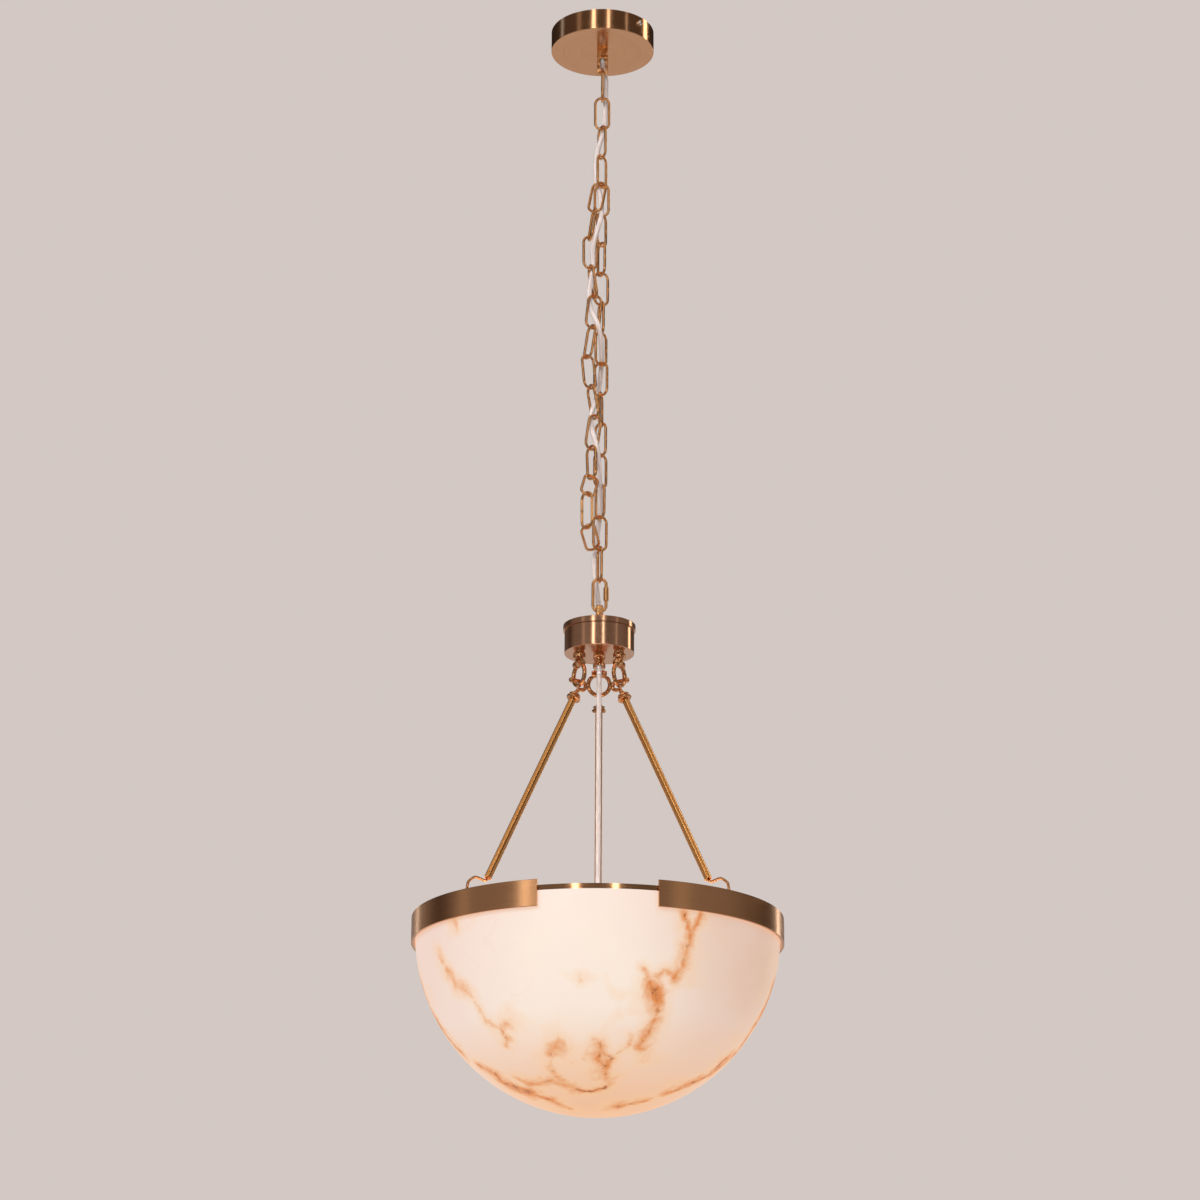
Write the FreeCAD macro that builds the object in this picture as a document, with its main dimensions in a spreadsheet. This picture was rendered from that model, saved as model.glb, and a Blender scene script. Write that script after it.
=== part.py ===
import FreeCAD, Part
import math
import os

import Sketcher
from FreeCAD import Placement, Rotation, Vector

# ---------------------------------------------------------------------------
# Bowl pendant on a chain.  Millimetres, +Z up.  The origin is the centre of
# the ceiling plane at the top of the canopy, so the whole lamp hangs below
# z = 0.  The view from the front looks along +Y.
# ---------------------------------------------------------------------------
doc = FreeCAD.newDocument("pendant")
sheet = doc.addObject("Spreadsheet::Sheet", "Dims")

SIZES = [
    # canopy and ceiling plate
    ("canopy_radius", 60.0), ("canopy_depth", 25.0), ("canopy_wall", 1.3),
    ("plate_radius", 55.0), ("plate_thick", 1.5), ("slot_pitch", 76.0),
    ("slot_width", 4.5), ("slot_length", 14.0), ("plate_bore", 24.0),
    ("side_screw_z", 9.0),
    # loops (canopy and hub use the same yoke)
    ("yoke_width", 13.0), ("yoke_depth", 8.4), ("yoke_mouth", 6.6),
    ("yoke_bar_radius", 2.05), ("shank_radius", 5.0), ("wireway_radius", 3.2),
    # chain
    ("link_length", 43.6), ("link_width", 19.0), ("link_wire", 3.1),
    ("link_pitch", 37.1), ("chain_top", 45.8),
    # quick link
    ("quick_length", 42.0), ("quick_width", 18.0), ("quick_wire", 3.5),
    ("quick_top", 676.1), ("sleeve_radius", 3.0), ("sleeve_length", 15.0),
    ("sleeve_top", 688.5),
    # hub
    ("hub_bar_z", 712.25), ("lid_top", 733.0), ("lid_thick", 6.5), ("lid_radius", 40.0),
    ("hub_radius", 38.5), ("hub_bottom", 766.0), ("hub_wall", 1.6),
    ("nipple_radius", 4.8), ("nipple_bottom", 779.0),
    # shackles and rods
    ("stud_ring", 25.4), ("stud_radius", 6.5), ("pin_z", 781.0), ("bow_radius", 12.0),
    ("bow_wire", 4.7), ("bow_centre_z", 793.65), ("hook_wire", 4.3),
    ("rod_radius", 4.0), ("rod_bore", 2.9), ("rod_top_r", 32.4), ("rod_top_z", 821.5),
    ("rod_end_r", 135.0), ("rod_end_z", 1036.0), ("low_wire", 3.0),
    # rim and bowl
    ("bowl_radius", 196.0), ("bowl_wall", 5.7), ("bowl_centre_z", 1080.0), ("bowl_rim_z", 1077.0),
    ("band_radius", 200.0), ("band_thick", 3.0), ("band_top", 1066.0), ("band_bottom", 1094.0),
    ("band_angle", 83.6), ("rim_top", 1071.5), ("rim_radius", 195.8),
    ("hook_ring", 160.0), ("arm_thick", 2.5), ("arm_width", 16.0), ("screw_z", 1086.0),
    # lampholders and bulbs
    ("holder_ring", 50.0), ("holder_radius", 18.0), ("holder_length", 46.0),
    ("bulb_radius", 29.0), ("bulb_length", 82.0),
    # flex
    ("flex_radius", 2.8),
]
for row, (name, value) in enumerate(SIZES, start=1):
    sheet.set("A%d" % row, name)
    sheet.set("B%d" % row, str(value))
    sheet.setAlias("B%d" % row, name)
doc.recompute()


class Q:
    """A dimension with its value and its sheet expression."""

    def __init__(self, value, text):
        self.value, self.text = float(value), text

    def _mix(self, other, sign, swap=False):
        o = other if isinstance(other, Q) else Q(other, repr(float(other)))
        a, b = (o, self) if swap else (self, o)
        if sign == "+":
            v = a.value + b.value
        elif sign == "-":
            v = a.value - b.value
        elif sign == "*":
            v = a.value * b.value
        else:
            v = a.value / b.value
        return Q(v, "(%s %s %s)" % (a.text, sign, b.text))

    def __add__(self, o): return self._mix(o, "+")
    def __radd__(self, o): return self._mix(o, "+", True)
    def __sub__(self, o): return self._mix(o, "-")
    def __rsub__(self, o): return self._mix(o, "-", True)
    def __mul__(self, o): return self._mix(o, "*")
    def __rmul__(self, o): return self._mix(o, "*", True)
    def __truediv__(self, o): return self._mix(o, "/")
    def __neg__(self): return Q(-self.value, "(-1 * %s)" % self.text)


def dim(name):
    return Q(float(sheet.get(name)), "Dims." + name)


def num(x):
    return x.value if isinstance(x, Q) else float(x)


NODES = {}


def node(obj, name):
    obj.Label = name
    NODES[name] = obj
    return obj


def bind(obj, **props):
    for prop, q in props.items():
        if isinstance(q, Q):
            setattr(obj, prop, q.value)
            obj.setExpression(prop, q.text)
        else:
            setattr(obj, prop, q)
    return obj


def place(obj, x=0.0, y=0.0, z=0.0, rot=None):
    """Put an object somewhere; a position given by the sheet stays bound to it."""
    obj.Placement = Placement(Vector(num(x), num(y), num(z)), rot or Rotation())
    for axis, q in (("x", x), ("y", y), ("z", z)):
        if isinstance(q, Q):
            obj.setExpression("Placement.Base." + axis, q.text)
    return obj


def cylinder(name, radius, height, x=0.0, y=0.0, z=0.0, rot=None):
    c = doc.addObject("Part::Cylinder", name)
    bind(c, Radius=radius, Height=height)
    return place(c, x, y, z, rot)


def box(name, length, width, height, x=0.0, y=0.0, z=0.0, rot=None):
    b = doc.addObject("Part::Box", name)
    bind(b, Length=length, Width=width, Height=height)
    return place(b, x, y, z, rot)


def cut(name, base, tool):
    c = doc.addObject("Part::Cut", name)
    c.Base, c.Tool = base, tool
    return c


def fuse(name, shapes):
    f = doc.addObject("Part::MultiFuse", name)
    f.Shapes = list(shapes)
    return f


def origin_plane(body, role):
    return [o for o in body.Origin.OriginFeatures if o.Role == role][0]


def new_body(name):
    return doc.addObject("PartDesign::Body", name)


def new_sketch(body, name, role="XZ_Plane", offset=0.0):
    sk = body.newObject("Sketcher::SketchObject", name)
    sk.AttachmentSupport = [(origin_plane(body, role), "")]
    sk.MapMode = "FlatFace"
    if offset:
        sk.AttachmentOffset = Placement(Vector(0, 0, num(offset)), Rotation())
        if isinstance(offset, Q):
            sk.setExpression("AttachmentOffset.Base.z", offset.text)
    return sk


def pin_point(sk, geo, end, x, y):
    """Hold one sketch point at (x, y) from the sketch origin, bound to the sheet."""
    for q, kind, axis in ((x, "DistanceX", -2), (y, "DistanceY", -1)):
        v = num(q)
        if abs(v) < 1e-9:
            sk.addConstraint(Sketcher.Constraint("PointOnObject", geo, end, axis))
            continue
        if v > 0:
            i = sk.addConstraint(Sketcher.Constraint(kind, -1, 1, geo, end, v))
        else:
            i = sk.addConstraint(Sketcher.Constraint(kind, geo, end, -1, 1, -v))
        if isinstance(q, Q):
            text = q.text if v > 0 else "-1 * " + q.text
            sk.setExpression("Constraints[%d]" % i, text)


def polygon(sk, pts):
    n = len(pts)
    vs = [Vector(num(x), num(y), 0) for x, y in pts]
    first = sk.GeometryCount
    for i in range(n):
        sk.addGeometry(Part.LineSegment(vs[i], vs[(i + 1) % n]), False)
    for i in range(n):
        sk.addConstraint(Sketcher.Constraint("Coincident", first + i, 2, first + (i + 1) % n, 1))
    for i, (x, y) in enumerate(pts):
        pin_point(sk, first + i, 1, x, y)
    return sk


def circle(sk, x, y, r):
    g = sk.addGeometry(Part.Circle(Vector(num(x), num(y), 0), Vector(0, 0, 1), num(r)), False)
    i = sk.addConstraint(Sketcher.Constraint("Radius", g, num(r)))
    if isinstance(r, Q):
        sk.setExpression("Constraints[%d]" % i, r.text)
    if abs(num(x)) < 1e-9 and abs(num(y)) < 1e-9:
        sk.addConstraint(Sketcher.Constraint("Coincident", g, 3, -1, 1))
    else:
        pin_point(sk, g, 3, x, y)
    return g


def turned(name, pts, angle=360.0, midplane=False):
    """A piece turned about the vertical axis from a profile of (radius, height)."""
    body = new_body(name)
    sk = polygon(new_sketch(body, name + "_profile"), pts)
    rev = body.newObject("PartDesign::Revolution", name + "_turn")
    rev.Profile = sk
    rev.ReferenceAxis = (sk, ["V_Axis"])
    bind(rev, Angle=angle)
    rev.Midplane = midplane
    sk.Visibility = False
    body.Tip = rev
    return body


def soften(body, size, test, kind="PartDesign::Fillet"):
    """Round or chamfer the edges of a body that pass a test."""
    doc.recompute()
    base = body.Tip
    names = ["Edge%d" % (i + 1) for i, e in enumerate(base.Shape.Edges) if test(e)]
    f = body.newObject(kind, body.Name + "_edge%d" % len(body.Group))
    f.Base = (base, names)
    if kind.endswith("Fillet"):
        bind(f, Radius=size)
    else:
        bind(f, Size=size)
    body.Tip = f
    return names


def round_edge(e, z, r=None):
    if not e.Closed and len(e.Vertexes) > 1:
        return False
    b = e.BoundBox
    return abs(b.ZMin - z) < 1e-3 and abs(b.ZMax - z) < 1e-3 and (r is None or abs(b.XMax - r) < 1e-3)


def rounded_wire(pts, radii, report=None):
    """Straight runs joined by tangent arcs."""
    pts = [Vector(*p) for p in pts]
    edges, cur = [], pts[0]
    for i in range(1, len(pts) - 1):
        a, b, c = pts[i - 1], pts[i], pts[i + 1]
        u, v = (a - b).normalize(), (c - b).normalize()
        turn = math.pi - u.getAngle(v)
        r = radii[i - 1] if isinstance(radii, (list, tuple)) else radii
        t = r * math.tan(turn / 2)
        p1, p2 = b + u * t, b + v * t
        w = (u + v).normalize()
        mid = b + w * (r / math.cos(turn / 2) - r)
        if (p1 - cur).Length > 1e-6:
            edges.append(Part.LineSegment(cur, p1).toShape())
        edges.append(Part.Arc(p1, mid, p2).toShape())
        cur = p2
        if report is not None:
            report.append((round(math.degrees(turn), 1), round(r, 1)))
    edges.append(Part.LineSegment(cur, pts[-1]).toShape())
    return Part.Wire(edges)


def tube(wire, radius):
    e = wire.Edges[0]
    p, d = e.valueAt(e.FirstParameter), e.tangentAt(e.FirstParameter)
    ring = Part.Wire([Part.Circle(p, d, radius).toShape()])
    s = wire.makePipeShell([ring], True, False)
    want = math.pi * radius * radius * wire.Length
    if abs(s.Volume - want) > 0.02 * want:
        raise RuntimeError("tube volume %.1f, wanted %.1f" % (s.Volume, want))
    return s


def shape_node(name, shape, placement=None):
    """A piece whose form is worked out from the sheet here, where no primitive or sketch feature fits."""
    f = doc.addObject("Part::Feature", name)
    f.Shape = shape
    if placement is not None:
        f.Placement = placement
    return node(f, name)


def polar(r, deg, z):
    return Vector(r * math.cos(math.radians(deg)), r * math.sin(math.radians(deg)), z)


def turn_z(deg):
    return Rotation(Vector(0, 0, 1), deg)


SETS = (("left", 210.0), ("right", 330.0), ("back", 90.0))
SCREW_DIRECTION = -45.0

# ---------------------------------------------------------------------------
# Ceiling plate: a flat disc with two slots for the ceiling screws, a cable
# hole, and two turned-down ears that the canopy's side screws go into.
# ---------------------------------------------------------------------------
plate = new_body("plate_disc")
sk = new_sketch(plate, "plate_outline", "XY_Plane", -dim("plate_thick"))
circle(sk, 0, 0, dim("plate_radius"))
circle(sk, 0, 0, dim("plate_bore") / 2)
pad = plate.newObject("PartDesign::Pad", "plate_pad")
pad.Profile = sk
bind(pad, Length=dim("plate_thick"))
plate.Tip = pad
slots = []
for side in (-1, 1):
    half = (dim("slot_length") - dim("slot_width")) / 2
    mid = dim("slot_pitch") / 2
    x0 = mid * side - half
    b = box("slot_box_%s" % ("b" if side > 0 else "a"), half * 2, dim("slot_width"), 4.0, x0, -dim("slot_width") / 2, -3.0)
    ends = [cylinder("slot_end_%s%d" % ("b" if side > 0 else "a", k), dim("slot_width") / 2, 4.0, x0 + half * (2 * k), 0.0, -3.0) for k in (0, 1)]
    slots += [b] + ends
ear_in = dim("canopy_radius") - dim("canopy_wall") - 2.5
ears = []
for k, deg in enumerate((SCREW_DIRECTION, SCREW_DIRECTION + 180)):
    r = turn_z(deg)
    e = box("ear_%d" % k, 1.8, 12.0, 14.5)
    e.Placement = Placement(r.multVec(Vector(ear_in.value, -6, -14.5)), r)
    e.setExpression("Placement.Base.x", "cos(%g) * %s - sin(%g) * -6" % (deg, ear_in.text, deg))
    e.setExpression("Placement.Base.y", "sin(%g) * %s + cos(%g) * -6" % (deg, ear_in.text, deg))
    f = box("ear_root_%d" % k, 6.0, 12.0, 1.5)
    f.Placement = Placement(r.multVec(Vector(ear_in.value - 4.2, -6, -1.5)), r)
    ears += [e, f]
plate_all = fuse("plate_with_ears", [plate] + ears)
slot_all = fuse("plate_slots", slots)
screw_axis = Rotation(Vector(0, 0, 1), polar(1, SCREW_DIRECTION, 0))
ear_tap = cylinder("ear_taps", 1.6, 130.0, 0, 0, 0, screw_axis)
ear_tap.Placement = Placement(polar(-65, SCREW_DIRECTION, -num(dim("side_screw_z"))), screw_axis)
node(cut("plate_final", cut("plate_slotted", plate_all, slot_all), ear_tap), "ceiling_plate")

# ---------------------------------------------------------------------------
# Canopy: a shallow drawn cup, open against the ceiling, with a hole for the
# loop's shank in its floor and two side holes for the screws.
# ---------------------------------------------------------------------------
R, H, W = dim("canopy_radius"), dim("canopy_depth"), dim("canopy_wall")
canopy = turned("canopy_cup", [
    (dim("shank_radius") + 0.15, -H), (R, -H), (R, -0.05), (R - W, -0.05), (R - W, -H + W), (dim("shank_radius") + 0.15, -H + W)])
soften(canopy, 0.8, lambda e: round_edge(e, -25.0, 60.0))
side_hole = cylinder("canopy_side_holes", 2.1, 130.0)
side_hole.Placement = Placement(polar(-65, SCREW_DIRECTION, -num(dim("side_screw_z"))), screw_axis)
node(cut("canopy_drilled", canopy, side_hole), "canopy")

# side screws: a small domed cap outside, thread into the ear
screws = []
for k, deg in enumerate((SCREW_DIRECTION, SCREW_DIRECTION + 180)):
    d = Rotation(Vector(0, 0, 1), polar(1, deg, 0))
    shank = cylinder("side_shank_%d" % k, 1.58, 7.6)
    shank.Placement = Placement(polar(53.2, deg, -num(dim("side_screw_z"))), d)
    head = cylinder("side_head_%d" % k, 3.0, 2.0)
    head.Placement = Placement(polar(60.05, deg, -num(dim("side_screw_z"))), d)
    dome = doc.addObject("Part::Sphere", "side_dome_%d" % k)
    bind(dome, Radius=3.0)
    dome.Placement = Placement(polar(61.4, deg, -num(dim("side_screw_z"))), d)
    cap = doc.addObject("Part::MultiCommon", "side_cap_%d" % k)
    block = cylinder("side_block_%d" % k, 3.0, 3.2)
    block.Placement = Placement(polar(60.8, deg, -num(dim("side_screw_z"))), d)
    cap.Shapes = [dome, block]
    screws.append(fuse("side_screw_%d" % k, [shank, head, cap]))
group = doc.addObject("Part::Compound", "side_screws")
group.Links = screws
node(group, "canopy_screws")


# ---------------------------------------------------------------------------
# Yoke loops: a collar, a neck with two cheeks, and a round cross bar that the
# chain hooks over.  The shank is hollow so the flex runs through it.
# ---------------------------------------------------------------------------
def yoke(name, collar_z, bar_z, shank_end, collar_r, up, turn):
    """collar_z: the seat on the sheet metal; bar_z: the cross bar's centre; up: +1 when the shank points up."""
    s = -1.0 if up > 0 else 1.0
    w, dpt, mouth = dim("yoke_width"), dim("yoke_depth"), dim("yoke_mouth")
    collar_t = 2.6
    rot = turn_z(turn)
    collar = cylinder(name + "_collar", collar_r, collar_t)
    collar.Placement = Placement(Vector(0, 0, collar_z if s > 0 else collar_z - collar_t), Rotation())
    top = collar_z + s * (collar_t - 0.2)
    end = bar_z + s * dim("yoke_bar_radius").value
    z0, z1 = min(top, end), max(top, end)
    blk = new_body(name + "_blk")
    sk = new_sketch(blk, name + "_blk_sk", "XY_Plane", z0)
    polygon(sk, [(w / 2, dpt / 2), (-w / 2, dpt / 2), (-w / 2, -dpt / 2), (w / 2, -dpt / 2)])
    pad = blk.newObject("PartDesign::Pad", name + "_blk_pad")
    pad.Profile = sk
    bind(pad, Length=z1 - z0)
    blk.Tip = pad
    # round the block's corners, and its free end like a strap end
    soften(blk, 1.6, lambda e: abs(e.BoundBox.ZLength - (z1 - z0)) < 1e-3)
    far = end
    soften(blk, 1.9, lambda e: abs(e.BoundBox.ZMin - far) < 1e-3 and abs(e.BoundBox.ZMax - far) < 1e-3)
    m0, m1 = (collar_z + s * 9.6, end + s * 1.0)
    lo, hi = min(m0, m1), max(m0, m1)
    slot = box(name + "_mouth", mouth, 30.0, hi - lo, -mouth / 2, -15.0, lo)
    bar = cylinder(name + "_bar", dim("yoke_bar_radius"), mouth + 1.0, -(mouth + 1.0) / 2, 0.0, bar_z, Rotation(Vector(0, 1, 0), 90))
    body = cut(name + "_open", blk, slot)
    h0, h1 = sorted((collar_z + s * 0.5, shank_end))
    shank = cylinder(name + "_shank", dim("shank_radius"), h1 - h0, 0, 0, h0)
    solid = fuse(name + "_solid", [collar, body, bar, shank])
    b0, b1 = sorted((collar_z + s * 10.2, shank_end - s * 1.0))
    bore = cylinder(name + "_wireway", dim("wireway_radius"), b1 - b0, 0, 0, b0)
    screw_hole = cylinder(name + "_screw_hole", 1.62, 4.0)
    # the grub screw in the neck's front face, below (or above) the collar
    screw_hole.Placement = Placement(Vector(0, -5.2, collar_z + s * 6.4), Rotation(Vector(0, 0, 1), Vector(0, 1, 0)))
    # the wireway opens out where the flex bends away
    f0, f1 = collar_z + s * 6.2, collar_z + s * 9.9
    flare = doc.addObject("Part::Cone", name + "_flare")
    bind(flare, Radius1=dim("wireway_radius") if f0 < f1 else 4.0, Radius2=4.0 if f0 < f1 else dim("wireway_radius"), Height=abs(f1 - f0))
    place(flare, 0.0, 0.0, min(f0, f1))
    drilled = cut(name + "_bored", cut(name + "_flared", cut(name + "_bore1", solid, bore), flare), screw_hole)
    drilled.Placement = Placement(Vector(0, 0, 0), rot)
    return drilled


node(yoke("cloop", -25.05, -51.25, -12.0, 6.5, 1, 0.0), "canopy_loop")
grub = cylinder("cloop_grub", 1.58, 1.5, 0, -5.0, -31.45,Rotation(Vector(0, 0, 1), Vector(0, 1, 0)))
node(grub, "loop_set_screw")
# washer and hex nut that clamp the loop to the canopy's floor
washer = turned("loop_washer_t", [(dim("shank_radius") + 0.1, -23.65), (9.0, -23.65), (9.0, -22.45), (dim("shank_radius") + 0.1, -22.45)])
node(washer, "loop_washer")


def hex_nut(name, across, bore, z0, height):
    body = new_body(name)
    sk = new_sketch(body, name + "_hex", "XY_Plane", z0)
    r = across / math.sqrt(3.0)
    polygon(sk, [(r * math.cos(math.radians(60 * k)), r * math.sin(math.radians(60 * k))) for k in range(6)])
    circle(sk, 0, 0, bore)
    pad = body.newObject("PartDesign::Pad", name + "_pad")
    pad.Profile = sk
    bind(pad, Length=height)
    body.Tip = pad
    return body


node(hex_nut("loop_nut_b", 15.0, dim("shank_radius") + 0.02, -22.4, 5.0), "loop_nut")

# terminal block on the canopy's floor, with its clamp screws
tb = box("terminal_body", 30.0, 15.0, 11.0, 14.0, -7.5, -23.6)
wells = [cylinder("terminal_well_%d" % k, 2.0, 9.0, 19.0 + 10.0 * k, 3.6, -20.6) for k in range(3)]
ways = [cylinder("terminal_way_%d" % k, 1.7, 20.0, 19.0 + 10.0 * k, -10.0, -19.0, Rotation(Vector(0, 0, 1), Vector(0, 1, 0))) for k in range(3)]
node(cut("terminal_cut", tb, fuse("terminal_wells", wells + ways)), "terminal_block")
ts = [cylinder("terminal_screw_%d" % k, 1.9, 2.8, 19.0 + 10.0 * k, 3.6, -16.2) for k in range(3)]
group = doc.addObject("Part::Compound", "terminal_screw_set")
group.Links = ts
node(group, "terminal_screws")

# ---------------------------------------------------------------------------
# Chain.  One link: two half rings joined by straight sides.
# ---------------------------------------------------------------------------
LL, LW, WIRE, PITCH, TOP = [dim(n) for n in ("link_length", "link_width", "link_wire", "link_pitch", "chain_top")]


def oval(name, length, width, wire):
    """A closed oval of round wire, its centre at the origin, its long way up Z, in the XZ plane."""
    rr, hh = (width - wire) / 2, (length - width) / 2
    parts = []
    for k, sign in enumerate((1, -1)):
        t = doc.addObject("Part::Torus", "%s_end%d" % (name, k))
        bind(t, Radius1=rr, Radius2=wire / 2)
        t.Angle3 = 180.0
        rot = Rotation(Vector(1, 0, 0), 90 * sign)
        t.Placement = Placement(Vector(0, 0, num(hh) * sign), rot)
        t.setExpression("Placement.Base.z", "%d * %s" % (sign, hh.text))
        parts.append(t)
        parts.append(cylinder("%s_side%d" % (name, k), wire / 2, hh * 2, rr * sign, 0.0, -hh))
    return fuse(name, parts)


link_form = oval("link_form", LL, LW, WIRE)
doc.recompute()
assert link_form.Shape.isValid() and len(link_form.Shape.Solids) == 1
LINK = link_form.Shape.copy()
LINK.Placement = Placement()

# how far each link of the hanging chain is turned about the vertical
LINK_TURN = [90, 0, -60, 53, -8, 52, -61, 20, -70, 42, -27, 78, -42, 35, -54, 25, -75]


def hung_link(k):
    z = -TOP.value - PITCH.value * (k - 1) - LL.value / 2
    s = LINK.copy()
    s.Placement = Placement(Vector(0, 0, z), turn_z(LINK_TURN[k - 1]))
    return s


shape_node("chain_link_top", hung_link(1))
shape_node("chain_main", Part.makeCompound([hung_link(k) for k in range(2, 18)]))

# The spare length of chain, folded back up: it hangs from link 4 and ends on
# link 16.  Joints between its links, and each link's turn about its own axis.
SLACK_J = [
    (-2.16, -2.99, -196.38), (-8.23, -8.30, -232.05), (-12.88, -11.89, -268.97), (-12.53, -13.27, -306.08), (-6.66, -13.03, -342.77),
    (-10.09, -13.03, -379.76), (-15.19, -12.94, -416.56), (-11.63, -12.96, -453.54), (-5.53, -14.14, -490.17), (-10.53, -12.91, -527.00),
    (-9.06, -17.35, -563.78), (-14.48, -40.22, -592.32), (-14.29, -34.19, -628.55), (-7.16, -0.57, -641.71),
]
SLACK_TURN = [165.1, 106.7, 18.0, -72.4, 20.9, -56.6, 35.3, -63.6, 34.9, -53.7, 24.4, 134.9, 25.3]


def strand_link(a, b, deg):
    a, b = Vector(*a), Vector(*b)
    w = (a - b).normalize()
    e1 = Vector(1, 0, 0) - w * w.x
    e1.normalize()
    e2 = w.cross(e1)
    u = e1 * math.cos(math.radians(deg)) + e2 * math.sin(math.radians(deg))
    n = w.cross(u)
    rot = Rotation(u, n, w, "ZXY")
    s = LINK.copy()
    s.Placement = Placement((a + b) * 0.5, rot)
    return s


if len(SLACK_J) > 1:
    shape_node("chain_slack", Part.makeCompound([strand_link(SLACK_J[i], SLACK_J[i + 1], SLACK_TURN[i]) for i in range(len(SLACK_TURN))]))

# ---------------------------------------------------------------------------
# Quick link: an open oval of wire whose gap is bridged by a threaded sleeve.
# ---------------------------------------------------------------------------
QL, QW, QD, QT = [dim(n) for n in ("quick_length", "quick_width", "quick_wire", "quick_top")]
q_oval = oval("quick_oval", QL, QW, QD)
place(q_oval, 0.0, 0.0, -(QT + QL / 2))
q_gap = box("quick_gap", 6.0, 6.0, 3.0, (QW - QD) / 2 - 3.0, -3.0, -(dim("sleeve_top") + 3.5))
node(cut("quick_open", q_oval, q_gap), "quick_link")
sl = cylinder("sleeve_hex", dim("sleeve_radius"), dim("sleeve_length"), (QW - QD) / 2, 0.0, -(dim("sleeve_top") + dim("sleeve_length")))
sl_bore = cylinder("sleeve_bore", QD / 2 + 0.05, dim("sleeve_length") + 2.0, (QW - QD) / 2, 0.0, -(dim("sleeve_top") + dim("sleeve_length") + 1.0))
node(cut("sleeve_cut", sl, sl_bore), "quick_link_sleeve")

# ---------------------------------------------------------------------------
# Hub: a drum with a lid, hung on the lower yoke.  Hub, coupling and nipple
# are clamped along the hollow centre line.
# ---------------------------------------------------------------------------
LT, LH, LR, HR, HB, HW = [dim(n) for n in ("lid_top", "lid_thick", "lid_radius", "hub_radius", "hub_bottom", "hub_wall")]
node(yoke("hloop", -733.0, -dim("hub_bar_z").value, -745.0, 6.2, -1, 90.0), "hub_loop")
lid = turned("hub_lid_t", [
    (dim("shank_radius") + 0.1, -LT), (LR, -LT), (LR, -(LT + LH)), (LR - 1.6, -(LT + LH)), (LR - 1.6, -(LT + 2.0)), (dim("shank_radius") + 0.1, -(LT + 2.0))])
soften(lid, 0.6, lambda e: round_edge(e, -733.0, 40.0))
# the flex comes down behind the loop and goes in through its own hole
node(cut("hub_lid_drilled", lid, cylinder("hub_lid_way", 3.4, 8.0, 0.0, 14.0, -739.0)), "hub_lid")
drum = turned("hub_drum_t", [
    (dim("nipple_radius") + 0.1, -HB), (HR, -HB), (HR, -(LT + LH + 0.7)), (HR - 0.6, -(LT + LH + 0.7)), (HR - 0.6, -(LT + 2.1)),
    (HR - HW - 0.6, -(LT + 2.1)), (HR - HW - 0.6, -(HB - 2.2)), (dim("nipple_radius") + 0.1, -(HB - 2.2))])
soften(drum, 0.7, lambda e: round_edge(e, -766.0, 38.5))
stud_holes = fuse("drum_stud_holes", [cylinder("drum_hole_" + n, 3.1, 6.0, polar(dim("stud_ring").value, a, 0).x, polar(dim("stud_ring").value, a, 0).y, -768.5) for n, a in SETS])
node(cut("hub_drum_drilled", drum, stud_holes), "hub_body")
washer = turned("hub_washer_t", [(dim("shank_radius") + 0.1, -736.3), (9.5, -736.3), (9.5, -735.05), (dim("shank_radius") + 0.1, -735.05)])
node(washer, "hub_washer")
coupling = new_body("coupling_b")
sk = new_sketch(coupling, "coupling_hex", "XY_Plane", -753.0)
r6 = 16.0 / math.sqrt(3.0)
polygon(sk, [(r6 * math.cos(math.radians(60 * k)), r6 * math.sin(math.radians(60 * k))) for k in range(6)])
circle(sk, 0, 0, dim("shank_radius") + 0.02)
pad = coupling.newObject("PartDesign::Pad", "coupling_pad")
pad.Profile = sk
bind(pad, Length=16.6)
coupling.Tip = pad
node(coupling, "hub_coupling")
NR, NB = dim("nipple_radius"), dim("nipple_bottom")
nip = turned("nipple_t", [
    (dim("wireway_radius"), -745.4), (4.98, -745.4), (4.98, -752.5), (NR, -752.5), (NR, -766.05), (NR + 1.4, -766.05), (NR + 1.4, -768.6),
    (NR - 0.4, -769.4), (NR - 0.4, -(NB - 1.2)), (NR, -(NB - 1.0)), (NR, -NB), (dim("wireway_radius"), -NB)])
node(nip, "cable_nipple")
node(hex_nut("hub_nut_b", 14.0, NR + 0.02, -763.75, 4.5), "hub_nut")

# ---------------------------------------------------------------------------
# Three shackle sets.  Everything is drawn on the +X side and turned to its
# place; the bow lies across the radius and the hook along it.
# ---------------------------------------------------------------------------
SR, PZ, BR, BW, BZ = [dim(n).value for n in ("stud_ring", "pin_z", "bow_radius", "bow_wire", "bow_centre_z")]
HWIRE = dim("hook_wire").value


def set_shape(shape, deg):
    s = shape.copy()
    s.Placement = Placement(Vector(0, 0, 0), turn_z(deg)).multiply(s.Placement)
    return s


# stud: threaded shank through the drum's floor, two-tier collar, eye for the pin
shank = Part.makeCylinder(2.98, 9.6, Vector(SR, 0, -766.5))
tier1 = Part.makeCylinder(5.6, 3.1, Vector(SR, 0, -769.15))
tier2 = Part.makeCylinder(6.9, 5.2, Vector(SR, 0, -774.3))
eye = Part.makeCylinder(3.8, 4.2, Vector(SR, -2.1, -781.0), Vector(0, 1, 0))
tongue = Part.makeBox(7.6, 4.2, 7.0, Vector(SR - 3.8, -2.1, -781.0))
stud = shank.fuse([tier1, tier2, tongue, eye]).cut(Part.makeCylinder(2.15, 8.0, Vector(SR, -4, PZ * -1), Vector(0, 1, 0))).removeSplitter()
shape_node("shackle_studs", Part.makeCompound([set_shape(stud, a) for _, a in SETS]))
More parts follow.
